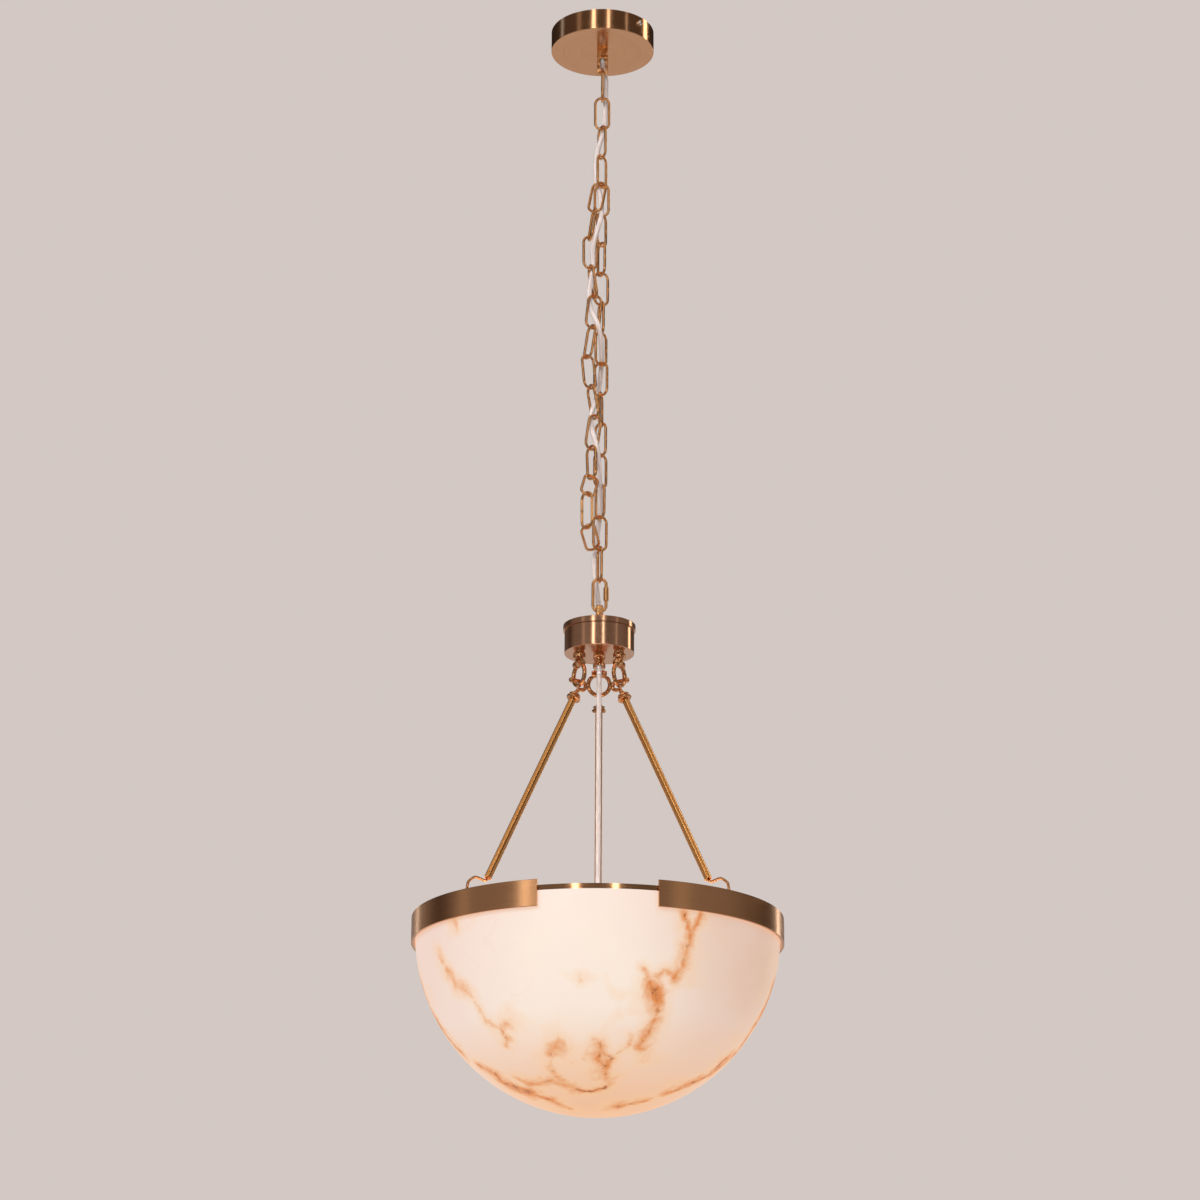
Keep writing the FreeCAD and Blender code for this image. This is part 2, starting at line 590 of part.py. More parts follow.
# nuts inside the drum
hexa = Part.Face(Part.makePolygon([Vector(SR + 5.8 * math.cos(math.radians(60 * k)), 5.8 * math.sin(math.radians(60 * k)), -763.75) for k in range(7)]))
stud_nut = hexa.extrude(Vector(0, 0, 4.5)).cut(Part.makeCylinder(3.0, 10, Vector(SR, 0, -766)))
shape_node("stud_nuts", Part.makeCompound([set_shape(stud_nut, a) for _, a in SETS]))

# bow shackle: an open ring narrowing to two eyes either side of the tongue
half = BW / 2
bottom = Vector(SR, 0, -BZ - BR)
# the straight arms meet the ring tangentially: solve the tangent point from the eye
ey = Vector(SR, 5.2, -PZ)
dy, dz = ey.y, ey.z + BZ
dist = math.hypot(dy, dz)
base_ang = math.atan2(dz, dy)
off = math.acos(BR / dist) if dist > BR else 0.0
ta = base_ang - off
p_side = Vector(SR, BR * math.cos(ta), -BZ + BR * math.sin(ta))
p_mir = Vector(SR, -p_side.y, p_side.z)
bow_wire = Part.Wire([
    Part.LineSegment(ey, p_side).toShape(),
    Part.Arc(p_side, bottom, p_mir).toShape(),
    Part.LineSegment(p_mir, Vector(SR, -ey.y, ey.z)).toShape(),
])
bow = tube(bow_wire, half)
eyes = [Part.makeCylinder(4.3, 3.6, Vector(SR, y0, -PZ), Vector(0, 1, 0)) for y0 in (2.9, -6.5)]
# flat seats for the pin's head and its far end
seats = [Part.makeCylinder(3.75, 6.0, Vector(SR, y0, -PZ), Vector(0, 1, 0)) for y0 in (6.7, -12.7)]
bow = bow.fuse(eyes).cut(seats[0]).cut(seats[1]).cut(Part.makeCylinder(2.15, 30.0, Vector(SR, -15, -PZ), Vector(0, 1, 0))).removeSplitter()
for n, a in SETS:
    shape_node("shackle_" + n, set_shape(bow, a))
pin = Part.makeCylinder(2.1, 16.0, Vector(SR, -8.0, -PZ), Vector(0, 1, 0))
pin_head = Part.makeCylinder(3.6, 1.8, Vector(SR, -8.6, -PZ), Vector(0, 1, 0))
pin_end = Part.makeCylinder(3.3, 1.6, Vector(SR, 6.8, -PZ), Vector(0, 1, 0))
pin = pin.fuse([pin_head, pin_end]).removeSplitter()
shape_node("shackle_pins", Part.makeCompound([set_shape(pin, a) for _, a in SETS]))

# top hook: ball tip, an arm over the bow, a return bend, a tapered neck and a
# two-bead collar in line with the rod
RT = Vector(dim("rod_top_r").value, 0, -dim("rod_top_z").value)
RE = Vector(dim("rod_end_r").value, 0, -dim("rod_end_z").value)
ROD = (RE - RT).normalize()
bow_low = -BZ - BR
reach = half + HWIRE / 2 + 0.3
zu, zl = bow_low + reach, bow_low - reach
uc = 21.9
hook_wire = Part.Wire([
    Part.LineSegment(Vector(34.4, 0, zu), Vector(uc, 0, zu)).toShape(),
    Part.Arc(Vector(uc, 0, zu), Vector(uc - reach, 0, bow_low), Vector(uc, 0, zl)).toShape(),
])
hook_up = tube(hook_wire, HWIRE / 2)
neck_start = RT - ROD * 9.0
hook_neck = tube(rounded_wire([(uc - 0.01, 0, zl), (neck_start.x - 2.2, 0, zl), tuple(RT - ROD * 2.0)], 2.3), HWIRE / 2)
ball = Part.makeSphere(3.0, Vector(35.0, 0, zu))
cone = Part.makeCone(2.3, 4.4, 6.5, RT - ROD * 9.2, ROD)
bead1 = Part.makeCylinder(7.75, 3.4, RT - ROD * 1.7, ROD)
bead2 = Part.makeCylinder(6.5, 2.6, RT - ROD * 5.2, ROD)
bead1 = bead1.makeFillet(1.5, [e for e in bead1.Edges if e.Closed])
bead2 = bead2.makeFillet(1.15, [e for e in bead2.Edges if e.Closed])
core = Part.makeCylinder(5.0, 5.6, RT - ROD * 4.2, ROD)
spigot = Part.makeCylinder(2.85, 12.0, RT + ROD * 1.0, ROD)
top_hook = hook_up.fuse([hook_neck, ball, cone, bead1, bead2, core, spigot]).removeSplitter()
for n, a in SETS:
    shape_node("top_hook_" + n, set_shape(top_hook, a))

# rod: a straight tube from under the collar to its open lower end
ROD_LEN = (RE - RT).Length
rod_start = RT + ROD * 1.75
for n, a in SETS:
    body = new_body("rod_body_" + n)
    sk = new_sketch(body, "rod_ring_" + n, "XY_Plane")
    circle(sk, 0, 0, dim("rod_radius"))
    circle(sk, 0, 0, dim("rod_bore"))
    pad = body.newObject("PartDesign::Pad", "rod_pad_" + n)
    pad.Profile = sk
    length = "sqrt((Dims.rod_end_r - Dims.rod_top_r)^2 + (Dims.rod_end_z - Dims.rod_top_z)^2) - 1.75"
    pad.Length = ROD_LEN - 1.75
    pad.setExpression("Length", length)
    body.Tip = pad
    rot = turn_z(a).multiply(Rotation(Vector(0, 0, 1), ROD))
    body.Placement = Placement(turn_z(a).multVec(rod_start), rot)
    node(body, "rod_" + n)

# bottom hook: thin wire that leaves the tube, cranks outwards over the rim and
# drops through the frame's arm, with a plug in the tube and a nut below
LWIRE = dim("low_wire").value
HRING = dim("hook_ring").value
low_pts = [tuple(RE - ROD * 6.0), tuple(RE + ROD * 4.2), (150.0, 0, -1036.2), (158.2, 0, -1042.5), (HRING, 0, -1054.0), (HRING, 0, -1079.0)]
low_wire = rounded_wire(low_pts, [3.6, 6.0, 5.0, 5.0])
low = tube(low_wire, LWIRE / 2)
plug = Part.makeCylinder(2.82, 14.0, RE - ROD * 16.0, ROD)
low = low.fuse([plug]).removeSplitter()
for n, a in SETS:
    shape_node("bottom_hook_" + n, set_shape(low, a))
nut = Part.makeCylinder(5.0, 4.0, Vector(HRING, 0, -1076.3)).cut(Part.makeCylinder(1.52, 12.0, Vector(HRING, 0, -1082)))
nut = nut.makeFillet(0.8, [e for e in nut.Edges if e.Closed and abs(e.BoundBox.XLength - 10.0) < 0.01])
for n, a in SETS:
    shape_node("hook_nut_" + n, set_shape(nut, a))

# ---------------------------------------------------------------------------
# Rim: a folded ring that caps the bowl's edge, three outer bands, the frame
# of three arms that the hooks carry, and the screws through the glass edge.
# ---------------------------------------------------------------------------
RR, RTOP, RIMZ = dim("rim_radius"), dim("rim_top"), dim("bowl_rim_z")
ring = turned("rim_ring_t", [
    (187.6, -RTOP), (RR, -RTOP), (RR, -(RIMZ - 0.05)), (RR - 2.4, -(RIMZ - 0.05)), (RR - 2.4, -(RTOP + 2.2)), (189.8, -(RTOP + 2.2)), (189.8, -1093.0), (187.6, -1093.0)])
SCREW_AZ = []
for _, a in SETS:
    SCREW_AZ += [a - 28.0, a + 28.0]


def radial(name, r0, r1, rad, z):
    out = []
    for k, a in enumerate(SCREW_AZ):
        c = cylinder("%s_%d" % (name, k), rad, r1 - r0)
        c.Placement = Placement(polar(r0, a, z), Rotation(Vector(0, 0, 1), polar(1, a, 0)))
        c.setExpression("Placement.Base.z", "-Dims.screw_z")
        out.append(c)
    return out


SZ = -dim("screw_z").value
node(cut("rim_ring_drilled", ring, fuse("rim_ring_holes", radial("ring_hole", 180.0, 193.0, 2.2, SZ))), "rim_ring")

BRAD, BTH, BTOP, BBOT = [dim(n) for n in ("band_radius", "band_thick", "band_top", "band_bottom")]
for n, a in SETS:
    band = turned("band_t_" + n, [(BRAD - BTH, -BTOP), (BRAD, -BTOP), (BRAD, -BBOT), (BRAD - BTH, -BBOT)], dim("band_angle"), True)
    soften(band, 0.35, lambda e: e.BoundBox.ZLength < 0.01 and e.Length > 250, "PartDesign::Chamfer")
    holes = []
    for k, off in enumerate((-28.0, 28.0)):
        c = cylinder("band_hole_%s_%d" % (n, k), 2.05, 6.0)
        c.Placement = Placement(polar(193.0, off, SZ), Rotation(Vector(0, 0, 1), polar(1, off, 0)))
        c.setExpression("Placement.Base.z", "-Dims.screw_z")
        holes.append(c)
    done = cut("band_drilled_" + n, band, fuse("band_holes_" + n, holes))
    done.Placement = Placement(Vector(0, 0, 0), turn_z(a))
    node(done, "rim_band_" + n)

rim_screws = []
for k, a in enumerate(SCREW_AZ):
    d = Rotation(Vector(0, 0, 1), polar(1, a, 0))
    s1 = cylinder("rim_shank_%d" % k, 2.0, 11.2)
    s1.Placement = Placement(polar(187.5, a, SZ), d)
    s2 = cylinder("rim_head_%d" % k, 3.8, 2.55)
    s2.Placement = Placement(polar(185.0, a, SZ), d)
    rim_screws.append(fuse("rim_screw_%d" % k, [s1, s2]))
group = doc.addObject("Part::Compound", "rim_screw_set")
group.Links = rim_screws
node(group, "rim_screws")

# frame: a centre disc and three arms that lie on the ring
AT, AW = dim("arm_thick"), dim("arm_width")
disc = cylinder("frame_disc", 70.0, AT, 0, 0, -RTOP + 0.05)
arms = [disc]
for n, a in SETS:
    arm = box("frame_arm_" + n, 192.5 - 60.0, AW, AT)
    arm.Placement = Placement(turn_z(a).multVec(Vector(60.0, -num(AW) / 2, -RTOP.value + 0.05)), turn_z(a))
    arm.setExpression("Placement.Base.z", "-Dims.rim_top + 0.05")
    arms.append(arm)
holes = [cylinder("frame_bore", 5.6, 10.0, 0, 0, -1075.0)]
for n, a in SETS:
    p = polar(HRING, a, -1075.0)
    holes.append(cylinder("frame_hook_hole_" + n, 3.2, 10.0, p.x, p.y, p.z))
    p = polar(192.0 - 1.0, a, -1075.0)
HAZ = (270.0, 30.0, 150.0)
for k, a in enumerate(HAZ):
    p = polar(dim("holder_ring").value, a, -1075.0)
    holes.append(cylinder("frame_holder_hole_%d" % k, 5.2, 10.0, p.x, p.y, p.z))
node(cut("frame_cut", fuse("frame_solid", arms), fuse("frame_holes", holes)), "lamp_frame")

# bowl: a half sphere with a short straight rim
bowl_b = new_body("bowl_shell")
sk = new_sketch(bowl_b, "bowl_profile")
BR0, BWL, BCZ = dim("bowl_radius"), dim("bowl_wall"), dim("bowl_centre_z")
ro, ri, cz, rz = BR0.value, BR0.value - BWL.value, -BCZ.value, -RIMZ.value
g0 = sk.addGeometry(Part.ArcOfCircle(Part.Circle(Vector(0, cz, 0), Vector(0, 0, 1), ro), -math.pi / 2, 0), False)
g1 = sk.addGeometry(Part.LineSegment(Vector(ro, cz, 0), Vector(ro, rz, 0)), False)
g2 = sk.addGeometry(Part.LineSegment(Vector(ro, rz, 0), Vector(ri, rz, 0)), False)
g3 = sk.addGeometry(Part.LineSegment(Vector(ri, rz, 0), Vector(ri, cz, 0)), False)
g4 = sk.addGeometry(Part.ArcOfCircle(Part.Circle(Vector(0, cz, 0), Vector(0, 0, 1), ri), -math.pi / 2, 0), False)
g5 = sk.addGeometry(Part.LineSegment(Vector(0, cz - ri, 0), Vector(0, cz - ro, 0)), False)
C = Sketcher.Constraint
sk.addConstraint([C("Coincident", g0, 2, g1, 1), C("Coincident", g1, 2, g2, 1), C("Coincident", g2, 2, g3, 1), C("Coincident", g3, 2, g4, 2),
                  C("Coincident", g4, 1, g5, 1), C("Coincident", g5, 2, g0, 1), C("Coincident", g0, 3, g4, 3), C("PointOnObject", g0, 3, -2),
                  C("Vertical", g1), C("Vertical", g3), C("Horizontal", g2), C("PointOnObject", g0, 1, -2), C("PointOnObject", g4, 1, -2)])
for q, con in ((BR0, C("Radius", g0, ro)), (BR0 - BWL, C("Radius", g4, ri)), (BCZ, C("DistanceY", g0, 3, -1, 1, -cz)), (RIMZ, C("DistanceY", g1, 2, -1, 1, -rz)), (BCZ, C("DistanceY", g0, 2, -1, 1, -cz))):
    i = sk.addConstraint(con)
    sk.setExpression("Constraints[%d]" % i, q.text)
rev = bowl_b.newObject("PartDesign::Revolution", "bowl_turn")
rev.Profile = sk
rev.ReferenceAxis = (sk, ["V_Axis"])
rev.Angle = 360.0
bowl_b.Tip = rev
node(cut("bowl_drilled", bowl_b, fuse("bowl_holes", radial("bowl_hole", 186.0, 199.0, 2.6, SZ))), "bowl")

# ---------------------------------------------------------------------------
# Light sources: three lampholders under the frame's disc, with bulbs that
# point down, fed from a connector block under the cable gland.
# ---------------------------------------------------------------------------
HO, HRD, HLN = dim("holder_ring").value, dim("holder_radius").value, dim("holder_length").value
holder_top = -RTOP.value
hz = holder_top - HLN
outer = Part.makeCylinder(HRD, HLN - 0.1, Vector(HO, 0, hz))
outer = outer.makeFillet(2.0, [e for e in outer.Edges if e.Closed])
holder = outer.fuse(Part.makeCylinder(5.0, 6.0, Vector(HO, 0, holder_top - 0.5))).cut(Part.makeCylinder(13.6, 27.0, Vector(HO, 0, hz - 1)))
for k, a in enumerate(HAZ):
    shape_node("lampholder_%d" % (k + 1), set_shape(holder, a))
lock = Part.makeCylinder(9.0, 2.0, Vector(HO, 0, holder_top + 2.6)).cut(Part.makeCylinder(5.05, 10.0, Vector(HO, 0, holder_top)))
shape_node("holder_rings", Part.makeCompound([set_shape(lock, a) for a in HAZ]))

bl, brd = dim("bulb_length").value, dim("bulb_radius").value
zc = hz + 25.0
profile = Part.BSplineCurve()
pts = [Vector(13.2, 0, hz + 0.5), Vector(15.5, 0, hz - 8), Vector(21.5, 0, hz - 22), Vector(27.5, 0, hz - 38), Vector(brd, 0, hz - 52),
       Vector(26.0, 0, hz - 67), Vector(16.0, 0, hz - 78.0), Vector(0.0, 0, hz - bl)]
profile.interpolate(pts)
edges = [Part.LineSegment(Vector(0, 0, zc), Vector(13.2, 0, zc)).toShape(), Part.LineSegment(Vector(13.2, 0, zc), pts[0]).toShape(),
         profile.toShape(), Part.LineSegment(pts[-1], Vector(0, 0, zc)).toShape()]
bulb = Part.Face(Part.Wire(edges)).revolve(Vector(0, 0, 0), Vector(0, 0, 1), 360)
bulb = Part.Solid(bulb.Shells[0]) if not bulb.Solids else bulb.Solids[0]
if bulb.Volume < 0:
    bulb.reverse()
bulb.translate(Vector(HO, 0, 0))
for k, a in enumerate(HAZ):
    shape_node("bulb_%d" % (k + 1), set_shape(bulb, a))

gland = turned("gland_t", [(3.15, -1073.6), (5.5, -1073.6), (5.5, -1068.9), (9.0, -1068.9), (8.0, -1064.5), (3.15, -1064.5)])
node(gland, "cable_gland")
block = turned("block_t", [(0, -1074.0), (13.0, -1074.0), (13.0, -1090.0), (0, -1090.0)])
node(block, "connector_block")
lead = tube(rounded_wire([(13.0, 0, -1081.0), (22.0, 0, -1083.5), (HO - HRD, 0, -1083.5)], 8.0), 1.6)
lead2 = Part.makeCylinder(1.6, HO - HRD - 13.0, Vector(13.0, 0, -1082.0), Vector(1, 0, 0))
shape_node("lamp_leads", Part.makeCompound([set_shape(lead2, a) for a in HAZ]))

# ---------------------------------------------------------------------------
# Flex.  The lower stretch hangs straight from the nipple to the gland; the
# upper stretch is woven through the chain.  Its route: straight runs joined
# by arcs of 0.45 times the shorter run over the tangent of half the turn.
# ---------------------------------------------------------------------------
FR = dim("flex_radius")
lower = cylinder("flex_low", FR, 1073.2 - 731.0, 0, 0, -1073.2)
node(lower, "cable_lower")

ROUTE = [
    (0, 0, -27), (0, 0.2, -36), (0.2, 7.6, -44.5), (4.32, 12.6, -52.23), (4.09, 15.33, -61.95),
    (4.15, 11.47, -80.73), (3.17, 8.93, -100.19), (2.64, 7.97, -120.74), (-1.96, 1.45, -140.17), (-6.16, 0.27, -155.75),
    (-7.41, 2.55, -174), (-5.76, 6.01, -192.29), (-0.69, 4.14, -211.26), (0.13, -10.59, -240.79), (-5.28, -16.64, -262.1),
    (-10.53, -12.06, -282.15), (-8.83, -5.89, -302.71), (-11.74, -11.54, -319.12), (-14.23, -9.69, -337.48), (-12.26, -12.48, -359.15),
    (-5.98, -16.15, -370.73), (-0.21, -14.68, -388.54), (0.85, 0.86, -408.87), (0.14, 12.16, -427.2), (-2.8, 16.62, -450.46),
    (-7.21, -11.13, -474.14), (-12.13, -13.06, -492.9), (-7.49, -14.47, -513.15), (-2.85, -14.01, -528.79), (-1.28, -12.21, -552.01),
    (-0.46, -8.2, -570.68), (0.48, 1.57, -585.29), (-0.08, 9.63, -600.43), (-2.64, 10.36, -618.46), (-4.38, 10.34, -636.14),
    (-6.55, 10.82, -654.09), (-5.83, 11.03, -671.25), (-2.77, 11.97, -689.3), (-0.6, 13.6, -712), (0, 14, -724),
    (0, 14, -741),
]
if len(ROUTE) > 3:
    radii, rep = [], []
    for i in range(1, len(ROUTE) - 1):
        a, b, c = Vector(*ROUTE[i - 1]), Vector(*ROUTE[i]), Vector(*ROUTE[i + 1])
        turn = math.pi - (a - b).getAngle(c - b)
        radii.append(0.45 * min((a - b).Length, (c - b).Length) / math.tan(turn / 2))
    wire = rounded_wire(ROUTE, radii, rep)
    print("flex: turns and radii", rep)
    print("flex: runs", [round((Vector(*ROUTE[i + 1]) - Vector(*ROUTE[i])).Length, 1) for i in range(len(ROUTE) - 1)])
    flex = tube(wire, FR.value)
    print("flex: length %.1f, volume %.1f, section times length %.1f" % (wire.Length, flex.Volume, math.pi * FR.value ** 2 * wire.Length))
    shape_node("cable_upper", flex)

# ---------------------------------------------------------------------------
doc.recompute()
bad = [o.Name for o in doc.Objects if "Invalid" in o.State or "Error" in o.State]
if bad:
    raise RuntimeError("failed objects: %s" % bad)
for name, obj in NODES.items():
    s = obj.Shape
    if s.isNull() or not s.isValid() or not s.Solids:
        raise RuntimeError("bad shape: " + name)
os.makedirs("parts", exist_ok=True)
for name, obj in NODES.items():
    obj.Shape.exportStep("parts/%s.step" % name)
    print("%-20s solids %2d  volume %10.1f  z %8.2f .. %8.2f" % (name, len(obj.Shape.Solids), obj.Shape.Volume, obj.Shape.BoundBox.ZMin, obj.Shape.BoundBox.ZMax))
print("nodes", len(NODES))
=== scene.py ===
import math

import bpy
import numpy as np
from mathutils import Matrix, Vector


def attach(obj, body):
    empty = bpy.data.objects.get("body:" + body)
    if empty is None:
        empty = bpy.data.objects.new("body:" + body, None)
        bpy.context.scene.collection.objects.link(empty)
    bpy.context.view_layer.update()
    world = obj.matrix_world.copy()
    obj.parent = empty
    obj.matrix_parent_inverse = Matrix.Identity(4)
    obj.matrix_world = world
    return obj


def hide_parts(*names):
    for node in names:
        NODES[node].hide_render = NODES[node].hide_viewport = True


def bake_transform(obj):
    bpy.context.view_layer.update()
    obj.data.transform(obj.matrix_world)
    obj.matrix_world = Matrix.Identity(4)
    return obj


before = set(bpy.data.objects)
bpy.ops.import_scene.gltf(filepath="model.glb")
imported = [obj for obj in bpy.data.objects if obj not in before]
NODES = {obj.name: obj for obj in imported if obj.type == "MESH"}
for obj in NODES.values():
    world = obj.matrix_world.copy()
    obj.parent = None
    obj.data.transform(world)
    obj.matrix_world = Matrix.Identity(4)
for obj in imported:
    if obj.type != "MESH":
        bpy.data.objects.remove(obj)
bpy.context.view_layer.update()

scene = bpy.context.scene
MM = 0.001

# ---------------------------------------------------------------------------
# Camera: low in front, tipped up towards the ceiling canopy
# ---------------------------------------------------------------------------
cam_data = bpy.data.cameras.new("camera")
cam_data.sensor_width = 36.0
cam_data.sensor_fit = "HORIZONTAL"
cam_data.lens = 99.0
cam_data.clip_start = 0.05
cam_data.clip_end = 60.0
cam = bpy.data.objects.new("camera", cam_data)
scene.collection.objects.link(cam)
cam.matrix_world = (
    Matrix.Translation((0.0005, -3.476, -1.859))
    @ Matrix.Rotation(math.radians(108.4), 4, "X")
    @ Matrix.Rotation(math.radians(0.31), 4, "Z")
)
scene.camera = cam


# ---------------------------------------------------------------------------
# Mesh helpers
# ---------------------------------------------------------------------------
def add_mesh(name, verts, faces, smooth=True):
    me = bpy.data.meshes.new(name)
    me.from_pydata([tuple(v) for v in verts], [], faces)
    me.validate()
    me.update()
    if smooth:
        me.polygons.foreach_set("use_smooth", [True] * len(me.polygons))
    ob = bpy.data.objects.new(name, me)
    scene.collection.objects.link(ob)
    return ob


def spline_points(name, route, resolution):
    """The smooth line that runs through a cord's route."""
    cu = bpy.data.curves.new(name, "CURVE")
    cu.dimensions = "3D"
    sp = cu.splines.new("NURBS")
    sp.points.add(len(route) - 1)
    for p, co in zip(sp.points, route):
        p.co = (co[0], co[1], co[2], 1.0)
    sp.order_u = 3
    sp.use_endpoint_u = True
    sp.resolution_u = resolution
    cu.resolution_u = resolution
    ob = bpy.data.objects.new(name, cu)
    scene.collection.objects.link(ob)
    bpy.context.view_layer.update()
    me = bpy.data.meshes.new_from_object(ob)
    pts = np.array([v.co for v in me.vertices], float)
    bpy.data.meshes.remove(me)
    bpy.data.objects.remove(ob)
    bpy.data.curves.remove(cu)
    return pts


def carry_frames(pts):
    """A pair of cross directions at each point, carried along the line without twist."""
    t = np.gradient(pts, axis=0)
    t /= np.linalg.norm(t, axis=1)[:, None]
    n = np.zeros_like(t)
    ref = np.array([1.0, 0, 0])
    n[0] = ref - t[0] * ref.dot(t[0])
    n[0] /= np.linalg.norm(n[0])
    for i in range(1, len(t)):
        v = n[i - 1] - t[i] * n[i - 1].dot(t[i])
        n[i] = v / np.linalg.norm(v)
    return t, n, np.cross(t, n)


def sweep(centres, n, b, radius, sides, closed, radii=None):
    """Verts and faces of a round tube over those centres."""
    verts, faces = [], []
    count = len(centres)
    for i in range(count):
        r = radius if radii is None else radii[i]
        for k in range(sides):
            a = 2 * math.pi * k / sides
            verts.append(centres[i] + r * (math.cos(a) * n[i] + math.sin(a) * b[i]))
    for i in range(count if closed else count - 1):
        j = (i + 1) % count
        for k in range(sides):
            m = (k + 1) % sides
            faces.append((i * sides + k, i * sides + m, j * sides + m, j * sides + k))
    if not closed:
        faces.append(tuple(range(sides))[::-1])
        faces.append(tuple((count - 1) * sides + k for k in range(sides)))
    return verts, faces


# ---------------------------------------------------------------------------
# Cords.  The upper flex is one line from the canopy loop, woven through the
# chain, to the hub; its skin is made in four lengths, one at each pivot.
# ---------------------------------------------------------------------------
ROUTE = [
    (0, 0, -27), (0, 0.2, -36), (0.2, 7.6, -44.5), (4.32, 12.6, -52.23), (4.09, 15.33, -61.95), (4.15, 11.47, -80.73),
    (3.17, 8.93, -100.19), (2.64, 7.97, -120.74), (-1.96, 1.45, -140.17), (-6.16, 0.27, -155.75), (-7.41, 2.55, -174),
    (-5.76, 6.01, -192.29), (-0.69, 4.14, -211.26), (0.13, -10.59, -240.79), (-5.28, -16.64, -262.1), (-10.53, -12.06, -282.15),
    (-8.83, -5.89, -302.71), (-11.74, -11.54, -319.12), (-14.23, -9.69, -337.48), (-12.26, -12.48, -359.15), (-5.98, -16.15, -370.73),
    (-0.21, -14.68, -388.54), (0.85, 0.86, -408.87), (0.14, 12.16, -427.2), (-2.8, 16.62, -450.46), (-7.21, -11.13, -474.14),
    (-12.13, -13.06, -492.9), (-7.49, -14.47, -513.15), (-2.85, -14.01, -528.79), (-1.28, -12.21, -552.01), (-0.46, -8.2, -570.68),
    (0.48, 1.57, -585.29), (-0.08, 9.63, -600.43), (-2.64, 10.36, -618.46), (-4.38, 10.34, -636.14), (-6.55, 10.82, -654.09),
    (-5.83, 11.03, -671.25), (-2.77, 11.97, -689.3), (-0.6, 13.6, -712), (0, 14, -724), (0, 14, -741),
]
LOWER = [(0, 0, -731), (0, 0, -850), (0, 0, -960), (0, 0, -1073.2)]
FLEX_R = 2.8 * MM
CORE_R = 1.02 * MM
TWIST = 95.0 * MM


def metres(route):
    return [(x * MM, y * MM, z * MM) for x, y, z in route]


def flex(name, pts, t, n, b, s0):
    """One length of clear sheath with its two twisted cores."""
    sheath = add_mesh(name, *sweep(pts, n, b, FLEX_R, 20, False))
    verts, faces = [], []
    step = np.concatenate([[0], np.cumsum(np.linalg.norm(np.diff(pts, axis=0), axis=1))]) + s0
    for half in (0, 1):
        a = 2 * math.pi * step / TWIST + math.pi * half
        off = 1.12 * MM * (np.cos(a)[:, None] * n + np.sin(a)[:, None] * b)
        centres = pts + off
        v, f = sweep(centres, n, b, CORE_R, 10, False)
        faces += [tuple(i + len(verts) for i in q) for q in f]
        verts += v
    cores = add_mesh(name + "_cores", verts, faces)
    return sheath, cores, float(step[-1] - step[0])


upper = spline_points("upper_flex_line", metres(ROUTE), 12)
ut, un, ub = carry_frames(upper)
along = np.concatenate([[0], np.cumsum(np.linalg.norm(np.diff(upper, axis=0), axis=1))])
FLEX_PARTS = [
    ("flex_upper_1", -0.0, -68.0, "root", "link_top", -45.0, -60.0),
    ("flex_upper_2", -68.0, -650.0, "link_top", "chain", -75.0, -95.0),
    ("flex_upper_3", -650.0, -700.0, "chain", "quick_link", -660.0, -695.0),
    ("flex_upper_4", -700.0, -760.0, "quick_link", "hub", -705.0, -725.0),
]
flex_pieces = []
for name, hi, lo, body_a, body_b, z0, z1 in FLEX_PARTS:
    idx = [i for i in range(len(upper)) if lo * MM - 1e-9 <= upper[i][2] <= hi * MM + 1e-9]
    i0, i1 = idx[0], idx[-1]
    if i1 < len(upper) - 1:
        i1 += 1
    sel = slice(i0, i1 + 1)
    sheath, cores, length = flex(name, upper[sel], ut[sel], un[sel], ub[sel], along[i0])
    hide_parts("cable_upper")
    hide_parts("cable_upper")
    for ob in (sheath, cores):
        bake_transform(ob)
    flex_pieces += [sheath, cores]

lower = spline_points("lower_flex_line", metres(LOWER), 24)
lt, ln, lb = carry_frames(lower)
sheath, cores, length = flex("flex_lower", lower, lt, ln, lb, 0.0)
for ob in (sheath, cores):
    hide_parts("cable_lower")
    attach(ob, "hub")
flex_pieces += [sheath, cores]

# ---------------------------------------------------------------------------
# Chain: bent wire links, each with the small bead where its ends are joined
# ---------------------------------------------------------------------------
LINK_R, LINK_H, WIRE_R = 7.95 * MM, 12.3 * MM, 1.55 * MM
LINK_TURN = [90, 0, -60, 53, -8, 52, -61, 20, -70, 42, -27, 78, -42, 35, -54, 25, -75]
SLACK_J = [
    (-2.16, -2.99, -196.38), (-8.23, -8.30, -232.05), (-12.88, -11.89, -268.97), (-12.53, -13.27, -306.08), (-6.66, -13.03, -342.77),
    (-10.09, -13.03, -379.76), (-15.19, -12.94, -416.56), (-11.63, -12.96, -453.54), (-5.53, -14.14, -490.17), (-10.53, -12.91, -527.00),
    (-9.06, -17.35, -563.78), (-14.48, -40.22, -592.32), (-14.29, -34.19, -628.55), (-7.16, -0.57, -641.71)]
SLACK_TURN = [165.1, 106.7, 18.0, -72.4, 20.9, -56.6, 35.3, -63.6, 34.9, -53.7, 24.4, 134.9, 25.3]


